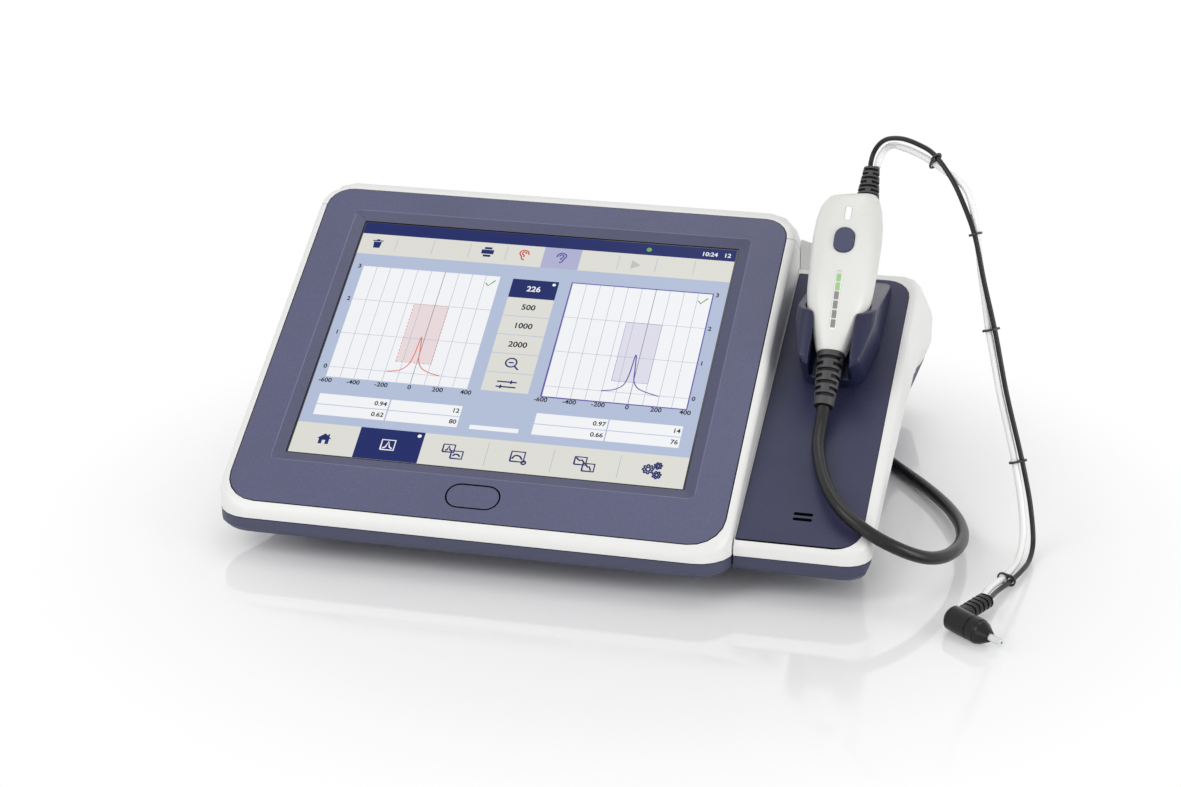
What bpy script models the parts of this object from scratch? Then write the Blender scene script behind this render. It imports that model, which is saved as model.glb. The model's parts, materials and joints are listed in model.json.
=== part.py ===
"""Desk-top tympanometer with a tilted touch screen, a side wing and a hand-held probe in its cradle.

Metres, +Z up. +X is to the user's right, +Y goes back from the user.
The origin is under the middle of the housing, on the table.
"""

import math

import bmesh
import bpy
from mathutils import Matrix, Vector

for thing in list(bpy.data.objects):
    bpy.data.objects.remove(thing, do_unlink=True)

# Driving dimensions of the housing
MAIN_WIDTH = 0.2684
WING_WIDTH = 0.0675
DEPTH = 0.2808
FACE_TILT = math.radians(29.4)
WING_TILT = math.radians(22.6)
BEHIND_FACE = 0.0904
BEHIND_WING = 0.0985
BACK_TILT = math.radians(35.5)
WING_BACK_TILT = math.radians(29.7)
FACE_FRONT_Z = 0.0298
FACE_SETBACK = 0.0039
WING_SETBACK = 0.0128
BASE_Z = 0.0126
BELLY_Z = 0.0045
SEAM_Z = 0.0213
WALL = 0.0025
FACE_WALL = 0.0066
GAP = 0.0003
OVERRUN = 0.006
FAR = 0.5

# Round edges of the housing
PLAN_CORNER = 0.018
RIM = 0.0038
SHOULDER = 0.016
WING_SHOULDER = 0.0100
PEAK_ROUND = 0.008
BASE_ROUND = 0.003
ARC_STEPS = 5
SHOULDER_STEPS = 3

# Places that the sizes give
LEFT_X = -(MAIN_WIDTH + GAP + WING_WIDTH) / 2
MAIN_X = LEFT_X + MAIN_WIDTH / 2
MAIN_RIGHT_X = LEFT_X + MAIN_WIDTH
WING_LEFT_X = MAIN_RIGHT_X + GAP
RIGHT_X = WING_LEFT_X + WING_WIDTH
FRONT_Y = -DEPTH / 2
REAR_Y = DEPTH / 2
MAIN_AXIS = Vector((MAIN_X, FRONT_Y + FACE_SETBACK, FACE_FRONT_Z))

# Lower edge of the outer side walls: shares of the depth and of the arch's rise, and the inward lean under it
ARCH_RISE = 0.0407
ARCH_SHARES = (
    (0.050, -0.05, 0.36),
    (0.088, 0.00, 0.42),
    (0.231, 0.36, 0.65),
    (0.373, 0.62, 0.66),
    (0.533, 0.87, 0.63),
    (0.640, 0.97, 0.53),
    (0.754, 1.00, 0.46),
    (0.890, 0.83, 0.42),
    (1.000, 0.56, 0.36),
)


def finish(name, colour, roughness, metallic=0.0):
    """Principled material of one colour."""
    material = bpy.data.materials.new(name)
    material.use_nodes = True
    shader = material.node_tree.nodes["Principled BSDF"]
    shader.inputs["Base Color"].default_value = (*colour, 1.0)
    shader.inputs["Roughness"].default_value = roughness
    shader.inputs["Metallic"].default_value = metallic
    material.diffuse_color = (*colour, 1.0)
    return material


WHITE_PLASTIC = finish("white_plastic", (0.84, 0.84, 0.82), 0.45)
BLUE_PLASTIC = finish("blue_plastic", (0.10, 0.105, 0.20), 0.6)
CRADLE_PLASTIC = finish("cradle_plastic", (0.07, 0.075, 0.16), 0.45)
PANEL_GLASS = finish("panel_glass", (0.48, 0.56, 0.74), 0.15)
PLATE_STEEL = finish("plate_steel", (0.60, 0.60, 0.60), 0.35, 1.0)
SCREW_STEEL = finish("screw_steel", (0.45, 0.45, 0.46), 0.3, 1.0)
BOARD_GREEN = finish("board_green", (0.02, 0.16, 0.07), 0.5)
BLACK_PLASTIC = finish("black_plastic", (0.02, 0.02, 0.022), 0.45)
BLACK_RUBBER = finish("black_rubber", (0.015, 0.015, 0.016), 0.7)
GREY_METAL = finish("grey_metal", (0.42, 0.43, 0.45), 0.4, 1.0)
PAPER_WHITE = finish("paper_white", (0.85, 0.85, 0.83), 0.8)
LIGHT_PIPE = finish("light_pipe", (0.90, 0.91, 0.92), 0.3)
LEVEL_PIPE = finish("level_pipe", (0.34, 0.52, 0.30), 0.35)
CLEAR_PLASTIC = finish("clear_plastic", (0.80, 0.82, 0.82), 0.1)
CLEAR_TUBE = finish("clear_tube", (0.86, 0.87, 0.86), 0.2)


def frame_at(origin, right, up):
    """Matrix whose local X and Y run along the two given directions."""
    right = Vector(right).normalized()
    up = Vector(up).normalized()
    out = right.cross(up)
    matrix = Matrix((right, up, out)).transposed().to_4x4()
    matrix.translation = Vector(origin)
    return matrix


def facing(origin, direction):
    """Matrix whose local Z runs along this level direction, with local Y up."""
    return frame_at(origin, Vector((0, 0, 1)).cross(Vector(direction)), (0, 0, 1))


def slope(tilt):
    """Direction that goes back and up at this tilt."""
    return Vector((0, math.cos(tilt), math.sin(tilt)))


RIGHT = Vector((1, 0, 0))
BACK = Vector((0, 1, 0))
UP = Vector((0, 0, 1))
SIDE_VIEW = frame_at((0, 0, 0), BACK, UP)
PLAN_VIEW = Matrix.Identity(4)


def add_solid(name, points, faces, place, material):
    """Object with this closed mesh, its faces turned outwards, at this place."""
    mesh = bpy.data.meshes.new(name)
    mesh.from_pydata([tuple(point) for point in points], [], faces)
    work = bmesh.new()
    work.from_mesh(mesh)
    bmesh.ops.recalc_face_normals(work, faces=work.faces)
    if work.calc_volume(signed=True) < 0:
        bmesh.ops.reverse_faces(work, faces=work.faces)
    work.to_mesh(mesh)
    work.free()
    obj = bpy.data.objects.new(name, mesh)
    obj.matrix_world = place
    bpy.context.scene.collection.objects.link(obj)
    if material:
        mesh.materials.append(material)
    return obj


def loft(name, rings, place, material, closed_ends=True):
    """Solid through rings of equal count; without end caps the last ring joins the first."""
    count = len(rings[0])
    points = [point for ring in rings for point in ring]
    faces = []
    last = len(rings) if not closed_ends else len(rings) - 1
    for row in range(last):
        following = (row + 1) % len(rings)
        for i in range(count):
            j = (i + 1) % count
            faces.append((row * count + i, row * count + j, following * count + j, following * count + i))
    if closed_ends:
        faces.append(tuple(reversed(range(count))))
        faces.append(tuple((len(rings) - 1) * count + i for i in range(count)))
    return add_solid(name, points, faces, place, material)


def prism(name, outline, place, low, high, material=None):
    """Outline in the place's XY plane, carried along its Z from low to high."""
    rings = [[(a, b, level) for a, b in outline] for level in (low, high)]
    return loft(name, rings, place, material)


def box(name, low, high, material=None, place=PLAN_VIEW):
    """Box between two corners."""
    outline = [low[:2], (high[0], low[1]), high[:2], (low[0], high[1])]
    return prism(name, outline, place, low[2], high[2], material)


def turned(name, profile, place, steps, material=None, hollow=False):
    """Solid turned about the place's Z from (radius, height) points; a hollow profile is a closed loop."""
    points = []
    rows = []
    for radius, height in profile:
        if radius == 0:
            rows.append([len(points)] * steps)
            points.append((0, 0, height))
            continue
        rows.append([len(points) + i for i in range(steps)])
        for i in range(steps):
            angle = math.tau * i / steps
            points.append((radius * math.cos(angle), radius * math.sin(angle), height))
    pairs = list(zip(rows, rows[1:]))
    if hollow:
        pairs.append((rows[-1], rows[0]))
    faces = []
    for lower, upper in pairs:
        for i in range(steps):
            j = (i + 1) % steps
            corners = [lower[i], lower[j], upper[j], upper[i]]
            face = [corner for place_in, corner in enumerate(corners) if corner not in corners[:place_in]]
            if len(face) > 2:
                faces.append(tuple(face))
    if not hollow:
        for row in (rows[0], rows[-1]):
            if len(set(row)) > 1:
                faces.append(tuple(row))
    return add_solid(name, points, faces, place, material)


def rounded(corners, steps=ARC_STEPS):
    """Outline through (a, b, radius) corners, with an arc at each corner that has a radius."""
    outline = []
    for index, (a, b, radius) in enumerate(corners):
        corner = Vector((a, b))
        if radius <= 0:
            outline.append((a, b))
            continue
        before = (Vector(corners[index - 1][:2]) - corner).normalized()
        after = (Vector(corners[(index + 1) % len(corners)][:2]) - corner).normalized()
        half = before.angle(after) / 2
        centre = corner + (before + after).normalized() * radius / math.sin(half)
        start = corner + before * radius / math.tan(half) - centre
        end = corner + after * radius / math.tan(half) - centre
        first = math.atan2(start.y, start.x)
        turn = (math.atan2(end.y, end.x) - first + math.pi) % math.tau - math.pi
        for k in range(steps + 1):
            angle = first + turn * k / steps
            outline.append((centre.x + radius * math.cos(angle), centre.y + radius * math.sin(angle)))
    return outline


def rounded_box(width, height, radius, centre=(0, 0), steps=ARC_STEPS):
    """Outline of a rectangle with four round corners."""
    a, b = centre
    across, along = width / 2, height / 2
    signs = ((-1, -1), (1, -1), (1, 1), (-1, 1))
    return rounded([(a + i * across, b + j * along, radius) for i, j in signs], steps)


def hide_guide(obj):
    obj.hide_render = True
    obj.display_type = "WIRE"


def combine(obj, other, operation="DIFFERENCE", solver="EXACT"):
    """Live Boolean on obj, with the other object as its hidden guide."""
    modifier = obj.modifiers.new(other.name, "BOOLEAN")
    modifier.object = other
    modifier.operation = operation
    modifier.solver = solver
    hide_guide(other)
    return obj


def carry(obj, holder):
    """Parent that leaves the object where it is."""
    obj.parent = holder
    obj.matrix_parent_inverse = holder.matrix_world.inverted()


def empty_at(name, place):
    holder = bpy.data.objects.new(name, None)
    holder.matrix_world = place
    bpy.context.scene.collection.objects.link(holder)
    return holder


def smooth_round(obj, angle=math.radians(40)):
    obj.data.shade_smooth()
    obj.data.set_sharp_from_angle(angle=angle)
    return obj


# Housing: one outer shape and one inner shape for each half, which the seams cut into shells


class Wedge:
    """Tilted face, round peak and back slope of one half of the housing, seen from the side."""

    def __init__(self, face_y, face_z, tilt, length, back_tilt, face_wall=0.0, back_wall=0.0):
        self.tilt = tilt
        self.back_tilt = back_tilt
        self.radius = max(PEAK_ROUND - max(face_wall, back_wall), PEAK_ROUND / 4)
        turn = (tilt + back_tilt) / 2
        reach = length + RIM / 4 + PEAK_ROUND * math.tan(turn)
        peak_y = face_y + reach * math.cos(tilt)
        peak_z = face_z + reach * math.sin(tilt)
        under_face = peak_z - (face_wall + self.radius) / math.cos(tilt)
        under_back = peak_z - (back_wall + self.radius) / math.cos(back_tilt)
        shift = (under_back - under_face) / (math.tan(tilt) + math.tan(back_tilt))
        self.centre_y = peak_y + shift
        self.centre_z = under_face + shift * math.tan(tilt)
        self.arc_start = self.centre_y - self.radius * math.sin(tilt)
        self.arc_end = self.centre_y + self.radius * math.sin(back_tilt)

    def height(self, y):
        if y < self.arc_start:
            edge_z = self.centre_z + self.radius * math.cos(self.tilt)
            return edge_z - (self.arc_start - y) * math.tan(self.tilt)
        if y > self.arc_end:
            edge_z = self.centre_z + self.radius * math.cos(self.back_tilt)
            return edge_z - (y - self.arc_end) * math.tan(self.back_tilt)
        return self.centre_z + math.sqrt(self.radius**2 - (y - self.centre_y) ** 2)


def side_chain(outer_x, front_y, rear_y, corner, wedge, rim, shoulder, corner_start, skew=0.0):
    """Right-hand half of the plan outline, front to back: (x, y, normal x, normal y, edge radius) rows."""
    chain = []
    for k in range(ARC_STEPS + 1):
        angle = math.pi / 2 * k / ARC_STEPS
        x = outer_x - corner + corner * math.sin(angle)
        y = front_y + skew + corner - corner * math.cos(angle)
        chain.append((x, y, math.sin(angle), -math.cos(angle), rim))
    corner_end = wedge.arc_start
    spread = shoulder - rim
    for k in range(ARC_STEPS + 1):
        share = math.sin(math.pi / 2 * k / ARC_STEPS)
        y = corner_start + (corner_end - corner_start) * share
        inset = spread * (1 - math.sqrt(1 - share**2))
        chain.append((outer_x, y, 1, 0, rim + inset))
    for k in range(1, SHOULDER_STEPS + 1):
        y = corner_end + (wedge.arc_end - corner_end) * k / SHOULDER_STEPS
        chain.append((outer_x, y, 1, 0, shoulder))
    for k in range(ARC_STEPS + 1):
        angle = math.pi / 2 * k / ARC_STEPS
        x = outer_x - corner + corner * math.cos(angle)
        y = rear_y - corner + corner * math.sin(angle)
        chain.append((x, y, math.cos(angle), math.sin(angle), shoulder))
    return chain


def wedge_body(name, chain, wedge, base_z, inset, left_x=None, mirror_x=None, floor_round=BASE_ROUND):
    """Closed body over a plan outline, with round upper edges; left side mirrored, or flat at left_x."""
    rings = []

    def ring(inward, height_of):
        right = []
        left = []
        for x, y, normal_x, normal_y, radius in chain:
            step = inset + inward(radius)
            across = x - normal_x * step
            along = y - normal_y * step
            level = height_of(along, radius)
            right.append((across, along, level))
            if left_x is None:
                left.append((2 * mirror_x - across, along, level))
            else:
                left.append((left_x + inset, along, level))
        return right + left[::-1]

    rings.append(ring(lambda radius: floor_round, lambda y, radius: base_z + inset))
    rings.append(ring(lambda radius: 0, lambda y, radius: base_z + inset + floor_round))
    for k in range(SHOULDER_STEPS + 1):
        angle = math.pi / 2 * k / SHOULDER_STEPS
        inward_share = 1 - math.cos(angle)
        drop_share = 1 - math.sin(angle)
        rings.append(
            ring(
                lambda radius: (radius - inset) * inward_share,
                lambda y, radius: wedge.height(y) - (radius - inset) * drop_share,
            )
        )
    count = len(rings[0])
    half = count // 2
    points = [point for one in rings for point in one]
    faces = [tuple(reversed(range(count)))]
    for row in range(len(rings) - 1):
        for i in range(count):
            j = (i + 1) % count
            faces.append((row * count + i, row * count + j, (row + 1) * count + j, (row + 1) * count + i))
    top = (len(rings) - 1) * count
    for k in range(half - 1):
        faces.append((top + k, top + k + 1, top + count - 2 - k, top + count - 1 - k))
    return add_solid(name, points, faces, PLAN_VIEW, None)


def undercut(name, wall_x, outward, inset):
    """Guide that cuts the lower side away under the arched edge; outward is 1 or -1."""
    reach = OVERRUN
    rings = []
    rows = [(-OVERRUN / DEPTH, *ARCH_SHARES[0][1:])] + list(ARCH_SHARES)
    rows.append((1 + OVERRUN / DEPTH, *ARCH_SHARES[-1][1:]))
    for along, rise, lean in rows:
        y = FRONT_Y + along * DEPTH
        edge_z = SEAM_Z + rise * ARCH_RISE
        low_z = -OVERRUN
        edge_x = wall_x - outward * inset
        inner_x = edge_x - outward * lean * (edge_z - low_z)
        outer_x = edge_x + outward * reach
        top_z = edge_z + reach / lean
        rings.append([(outer_x, y, low_z), (outer_x, y, top_z), (inner_x, y, low_z)])
    guide = loft(name, rings, PLAN_VIEW, None)
    hide_guide(guide)
    return guide


# Main half
INLAY_MARGIN = 0.00455
INLAY_WIDTH = MAIN_WIDTH - 2 * INLAY_MARGIN
INLAY_LENGTH = (DEPTH - BEHIND_FACE) / math.cos(FACE_TILT)
INLAY_FRONT_CORNER = 0.017
INLAY_REAR_CORNER = 0.013
INLAY_THICK = 0.004
LEDGE = 0.004
REAR_SEAM_SHARE = 0.9415
REAR_SEAM_TILT = math.radians(32)

MAIN_WEDGE = Wedge(MAIN_AXIS.y, FACE_FRONT_Z, FACE_TILT, INLAY_LENGTH, BACK_TILT)
MAIN_WEDGE_IN = Wedge(MAIN_AXIS.y, FACE_FRONT_Z, FACE_TILT, INLAY_LENGTH, BACK_TILT, FACE_WALL, WALL)
FACE_PLACE = frame_at(MAIN_AXIS, RIGHT, slope(FACE_TILT))
CORNER_START = MAIN_AXIS.y + (INLAY_LENGTH - INLAY_REAR_CORNER) * math.cos(FACE_TILT)


def half_space(name, points, material=None, low=-FAR, high=FAR):
    """Guide that is a side-view outline carried across the whole width."""
    guide = prism(name, points, SIDE_VIEW, low, high, material)
    hide_guide(guide)
    return guide


def main_body(name, inset):
    wedge = MAIN_WEDGE_IN if inset else MAIN_WEDGE
    outer_x = MAIN_RIGHT_X
    chain = side_chain(outer_x, FRONT_Y, REAR_Y, PLAN_CORNER, MAIN_WEDGE, RIM, SHOULDER, CORNER_START)
    body = wedge_body(name, chain, wedge, BASE_Z, inset, mirror_x=MAIN_X)
    combine(body, undercut(name + "_undercut", LEFT_X, -1, inset * 1.2))
    hide_guide(body)
    return body


SEAM_Y_LOW = FRONT_Y - DEPTH
SEAM_Y_HIGH = REAR_Y + OVERRUN
SEAM_BEND_Y = FRONT_Y + PLAN_CORNER
MAIN_SEAM_RISE = 0.0287
WING_SEAM_RISE = 0.0128


def seam_line(lift, rise):
    """Side-view line of the seam between white housing and blue shell, front to back."""
    return [(SEAM_Y_LOW, SEAM_Z + lift), (SEAM_BEND_Y, SEAM_Z + lift), (SEAM_Y_HIGH, SEAM_Z + rise + lift)]


def below_seam(name, lift, rise):
    return half_space(name, seam_line(lift, rise) + [(SEAM_Y_HIGH, -FAR), (SEAM_Y_LOW, -FAR)])


def above_seam(name, lift, rise):
    return half_space(name, seam_line(lift, rise) + [(SEAM_Y_HIGH, FAR), (SEAM_Y_LOW, FAR)])


def rear_seam_points(shift):
    """Side-view line between front frame and rear cover, from above the face down to the back."""
    start = FACE_PLACE @ Vector((0, INLAY_LENGTH * REAR_SEAM_SHARE + shift, 0))
    reach = SEAM_Y_HIGH - start.y
    up = PLAN_CORNER
    return [
        (start.y - up * math.tan(FACE_TILT), start.z + up),
        (start.y, start.z),
        (SEAM_Y_HIGH, start.z - reach * math.tan(REAR_SEAM_TILT)),
    ]


def behind_seam(name, shift):
    line = rear_seam_points(shift)
    return half_space(name, line + [(SEAM_Y_HIGH, FAR), (line[0][0], FAR)])


def before_seam(name, shift):
    line = rear_seam_points(shift)
    return half_space(name, line + [(SEAM_Y_HIGH, -FAR), (SEAM_Y_LOW, -FAR), (SEAM_Y_LOW, line[0][1])])


def inlay_outline(grow):
    across = INLAY_WIDTH / 2 + grow
    far = INLAY_LENGTH + grow
    return rounded(
        [
            (-across, -grow, INLAY_FRONT_CORNER + grow),
            (across, -grow, INLAY_FRONT_CORNER + grow),
            (across, far, INLAY_REAR_CORNER + grow),
            (-across, far, INLAY_REAR_CORNER + grow),
        ]
    )


def cut_inlay_seat(shell):
    """Pocket for the bezel inlay and the opening inside its ledge."""
    pocket = prism(shell.name + "_inlay_pocket", inlay_outline(GAP), FACE_PLACE, -INLAY_THICK - GAP, OVERRUN)
    opening = prism(shell.name + "_inlay_opening", inlay_outline(-LEDGE), FACE_PLACE, -FAR / 10, 0)
    combine(shell, pocket)
    combine(shell, opening)


def cut_shell(name, material, outer, inner, cuts):
    """Shell between two bodies, cut by guides; each guide is a (object, operation) pair."""
    shell = outer
    shell.name = name
    shell.hide_render = False
    shell.display_type = "TEXTURED"
    shell.data.materials.append(material)
    combine(shell, inner)
    for guide, operation in cuts:
        combine(shell, guide, operation)
    return shell


# Wing half
WING_INLAY_MARGIN = 0.0062
WING_INLAY_WIDTH = WING_WIDTH - WING_INLAY_MARGIN
WING_INLAY_LENGTH = (DEPTH - BEHIND_WING) / math.cos(WING_TILT)
WING_INLAY_CORNER = 0.0125
WING_INLAY_SIDE = 0.0007
WING_INLAY_THICK = 0.0026
WING_LEDGE = 0.0022
WING_CORNER = 0.0140
WING_SKEW = 0.0012
WING_FACE_Z = 0.0304
WING_FACE_WALL = 0.0052
WING_FRONT_Y = FRONT_Y + WING_SETBACK
WING_FACE_Y = WING_FRONT_Y + FACE_SETBACK * 2 / 3
WING_INLAY_X = WING_LEFT_X + WING_INLAY_SIDE + WING_INLAY_WIDTH / 2
WING_AXIS = Vector((WING_INLAY_X, WING_FACE_Y, WING_FACE_Z))
WING_PLACE = frame_at(WING_AXIS, RIGHT, slope(WING_TILT))
WING_WEDGE = Wedge(WING_FACE_Y, WING_FACE_Z, WING_TILT, WING_INLAY_LENGTH, WING_BACK_TILT)
WING_WEDGE_IN = Wedge(
    WING_FACE_Y, WING_FACE_Z, WING_TILT, WING_INLAY_LENGTH, WING_BACK_TILT, WING_FACE_WALL, WALL
)
WING_CORNER_START = WING_FACE_Y + (WING_INLAY_LENGTH - WING_INLAY_CORNER) * math.cos(WING_TILT)


def wing_body(name, inset):
    wedge = WING_WEDGE_IN if inset else WING_WEDGE
    edges = (RIM, WING_SHOULDER, WING_CORNER_START, WING_SKEW)
    chain = side_chain(RIGHT_X, WING_FRONT_Y, REAR_Y, WING_CORNER, WING_WEDGE, *edges)
    body = wedge_body(name, chain, wedge, BASE_Z, inset, left_x=WING_LEFT_X)
    combine(body, undercut(name + "_undercut", RIGHT_X, 1, inset * 1.2))
    hide_guide(body)
    return body


def wing_inlay_outline(grow):
    across = WING_INLAY_WIDTH / 2 + grow
    far = WING_INLAY_LENGTH + grow
    small = WING_INLAY_SIDE
    return rounded(
        [
            (-across, -grow, small),
            (across, -grow, WING_INLAY_CORNER + grow),
            (across, far, WING_INLAY_CORNER + grow),
            (-across, far, small),
        ]
    )


# Screen and bezel
SCREEN_SIDE = 0.02465
SCREEN_BELOW = 0.0342
SCREEN_ABOVE = 0.0218
SCREEN_WIDTH = INLAY_WIDTH - 2 * SCREEN_SIDE
SCREEN_HEIGHT = INLAY_LENGTH - SCREEN_BELOW - SCREEN_ABOVE
SCREEN_CENTRE = SCREEN_BELOW + SCREEN_HEIGHT / 2
GLASS_DROP = 0.0020
GLASS_THICK = 0.0018
GLASS_MARGIN = 0.006
RECESS_MARGIN = 0.0065
RECESS_CORNER = 0.003
SCREEN_CORNER = 0.0008
SCREEN_CENTRE_VIEW = (0, SCREEN_CENTRE)

BUTTON_LENGTH = 0.0276
BUTTON_WIDTH = 0.0142
BUTTON_V = 0.0158
BUTTON_TRAVEL = 0.0010
BUTTON_GAP = 0.0003
BUTTON_DEEP = 0.0058
BUTTON_CENTRE = (0, BUTTON_V)


def build_front_bezel():
    """Blue inlay around the screen, with a sloped recess and the button's hole."""
    bezel = prism("front_bezel", inlay_outline(0), FACE_PLACE, -INLAY_THICK, 0, BLUE_PLASTIC)
    low = rounded_box(SCREEN_WIDTH + GAP, SCREEN_HEIGHT + GAP, SCREEN_CORNER, SCREEN_CENTRE_VIEW, 2)
    wide = SCREEN_WIDTH + 2 * RECESS_MARGIN
    tall = SCREEN_HEIGHT + 2 * RECESS_MARGIN
    high = rounded_box(wide, tall, RECESS_CORNER, SCREEN_CENTRE_VIEW, 2)
    rise = OVERRUN / 3
    spread = RECESS_MARGIN * (1 + rise / GLASS_DROP)
    wide = SCREEN_WIDTH + 2 * spread
    tall = SCREEN_HEIGHT + 2 * spread
    above = rounded_box(wide, tall, RECESS_CORNER, SCREEN_CENTRE_VIEW, 2)
    rings = [
        [(a, b, -INLAY_THICK - OVERRUN) for a, b in low],
        [(a, b, -GLASS_DROP) for a, b in low],
        [(a, b, 0) for a, b in high],
        [(a, b, rise) for a, b in above],
    ]
    combine(bezel, loft("bezel_recess", rings, FACE_PLACE, None))
    wide = SCREEN_WIDTH + 2 * GLASS_MARGIN + 2 * GAP
    tall = SCREEN_HEIGHT + 2 * GLASS_MARGIN + 2 * GAP
    seat = rounded_box(wide, tall, SCREEN_CORNER, SCREEN_CENTRE_VIEW, 2)
    combine(bezel, prism("bezel_glass_seat", seat, FACE_PLACE, -INLAY_THICK - OVERRUN, -GLASS_DROP))
    wide = BUTTON_LENGTH + 2 * BUTTON_GAP
    tall = BUTTON_WIDTH + 2 * BUTTON_GAP
    hole = rounded_box(wide, tall, BUTTON_WIDTH / 2, BUTTON_CENTRE)
    combine(bezel, prism("bezel_button_hole", hole, FACE_PLACE, -INLAY_THICK - OVERRUN, OVERRUN))
    return bezel


LCD_DEEP = 0.0075
BRACKET_THICK = 0.0012
BRACKET_FLANGE = 0.0100
BRACKET_LIP = 0.0030


def build_display():
    """Touch glass under the bezel, LCD module behind it and the steel bracket that clamps both."""
    glass_low = -GLASS_DROP - GAP - GLASS_THICK
    wide = SCREEN_WIDTH + 2 * GLASS_MARGIN
    tall = SCREEN_HEIGHT + 2 * GLASS_MARGIN
    glass = rounded_box(wide, tall, SCREEN_CORNER, SCREEN_CENTRE_VIEW, 1)
    prism("touch_glass", glass, FACE_PLACE, glass_low, -GLASS_DROP - GAP, PANEL_GLASS)
    lcd_high = glass_low - GAP
    lcd_low = lcd_high - LCD_DEEP
    wide = SCREEN_WIDTH + GLASS_MARGIN
    tall = SCREEN_HEIGHT + GLASS_MARGIN
    lcd = rounded_box(wide, tall, SCREEN_CORNER, SCREEN_CENTRE_VIEW, 1)
    prism("lcd_module", lcd, FACE_PLACE, lcd_low, lcd_high, GREY_METAL)
    inside_w = wide + 2 * GAP
    inside_h = tall + 2 * GAP
    outer_w = inside_w + 2 * BRACKET_THICK
    outer_h = inside_h + 2 * BRACKET_THICK
    flange_w = outer_w + 2 * BRACKET_FLANGE
    flange_high = -INLAY_THICK - GAP
    floor_low = lcd_low - GAP - BRACKET_THICK
    bracket = prism(
        "display_bracket",
        rounded_box(outer_w, outer_h, SCREEN_CORNER, SCREEN_CENTRE_VIEW, 1),
        FACE_PLACE,
        floor_low,
        flange_high,
        PLATE_STEEL,
    )
    flange = prism(
        "bracket_flange",
        rounded_box(flange_w, outer_h - BRACKET_LIP, SCREEN_CORNER, SCREEN_CENTRE_VIEW, 1),
        FACE_PLACE,
        flange_high - BRACKET_THICK,
        flange_high,
    )
    pocket = prism(
        "bracket_pocket",
        rounded_box(inside_w, inside_h, SCREEN_CORNER, SCREEN_CENTRE_VIEW, 1),
        FACE_PLACE,
        lcd_low - GAP,
        OVERRUN,
    )
    window = prism(
        "bracket_window",
        rounded_box(inside_w * 3 / 4, inside_h * 3 / 4, RECESS_CORNER, SCREEN_CENTRE_VIEW, 1),
        FACE_PLACE,
        floor_low - OVERRUN,
        lcd_low,
    )
    combine(bracket, flange, "UNION")
    combine(bracket, pocket)
    combine(bracket, window)


SWITCH_SIDE = 0.0120
SWITCH_TALL = 0.0045
SWITCH_PLATE = 0.0016
SWITCH_PLATE_LENGTH = 0.044
SWITCH_PLATE_WIDTH = 0.020
STEM_RADIUS = 0.0018


def build_power_button():
    """Oval push button in the bezel and the switch board under it."""
    place = FACE_PLACE @ Matrix.Translation((0, BUTTON_V, 0))
    outline = rounded_box(BUTTON_LENGTH, BUTTON_WIDTH, BUTTON_WIDTH / 2 - GAP)
    button = prism("power_button", outline, place, -BUTTON_DEEP, 0, BLUE_PLASTIC)
    bevel = button.modifiers.new("soft_edge", "BEVEL")
    bevel.width = GAP
    bevel.segments = 1
    bevel.limit_method = "ANGLE"
    switch_top = -BUTTON_DEEP - BUTTON_TRAVEL - GAP
    stem = turned(
        "power_switch",
        [(STEM_RADIUS, switch_top - SWITCH_TALL - GAP), (STEM_RADIUS, switch_top)],
        place,
        12,
        BLACK_PLASTIC,
    )
    half = SWITCH_SIDE / 2
    body_high = switch_top - STEM_RADIUS
    body_low = body_high - SWITCH_TALL
    body = box("switch_body", (-half, -half, body_low), (half, half, body_high), None, place)
    plate_low = body_low - SWITCH_PLATE
    long_half = SWITCH_PLATE_LENGTH / 2
    wide_half = SWITCH_PLATE_WIDTH / 2
    plate_high = body_low + STEM_RADIUS / 2
    corner = (long_half, wide_half, plate_high)
    plate = box("switch_plate", (-long_half, -wide_half, plate_low), corner, None, place)
    combine(stem, body, "UNION")
    combine(stem, plate, "UNION")
    post = long_half - SWITCH_PLATE * 2
    for side in (-1, 1):
        near, far = sorted((side * post, side * long_half))
        leg_low = plate_low + SWITCH_PLATE / 2
        corner = (far, wide_half / 2, 0)
        leg = box("switch_post" + str(side), (near, -wide_half / 2, leg_low), corner, None, place)
        top = prism("post_trim" + str(side), inlay_outline(OVERRUN), FACE_PLACE, -INLAY_THICK - GAP, OVERRUN)
        combine(leg, top)
        combine(stem, leg, "UNION")


# Printer at the back slope: places are measured down the slope from the housing's peak
LID_WIDTH = 0.066
LID_NEAR = 0.0140
LID_THICK = 0.0025
PAPER_SLOT = 0.0011
HINGE_AT = 0.0620
BARREL_RADIUS = 0.0035
PIN_RADIUS = 0.00125
PIN_CLEARANCE = 0.0003
EAR_WIDTH = 0.0060
EAR_GAP = 0.0004
PLATEN_RADIUS = 0.0045
PLATEN_LENGTH = 0.0570
PLATEN_AT = 0.0200
PLATEN_DROP = 0.0075
SHAFT_RADIUS = 0.0015
ARM_WIDTH = 0.0025
ARM_LENGTH = 0.0090
ROLL_RADIUS = 0.0185
ROLL_WIDTH = 0.0575
ROLL_BORE = 0.0065
ROLL_AT = 0.0390
ROLL_DROP = 0.0240
BIN_WALL = 0.0020
BIN_PLAY = 0.0015
HEAD_NEAR = 0.0032
HEAD_WIDTH = 0.0550
HEAD_DEEP = 0.0097

SLOPE_TOP = Vector((MAIN_X, MAIN_WEDGE.arc_end, MAIN_WEDGE.height(MAIN_WEDGE.arc_end)))
BACK_SIDE = frame_at(SLOPE_TOP, slope(-BACK_TILT), (0, math.sin(BACK_TILT), math.cos(BACK_TILT)))


def across_slope(name, outline, half_width, material=None):
    """Prism of an outline in (down the slope, outward) values, carried across the housing."""
    return prism(name, outline, BACK_SIDE, -half_width, half_width, material)


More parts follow.
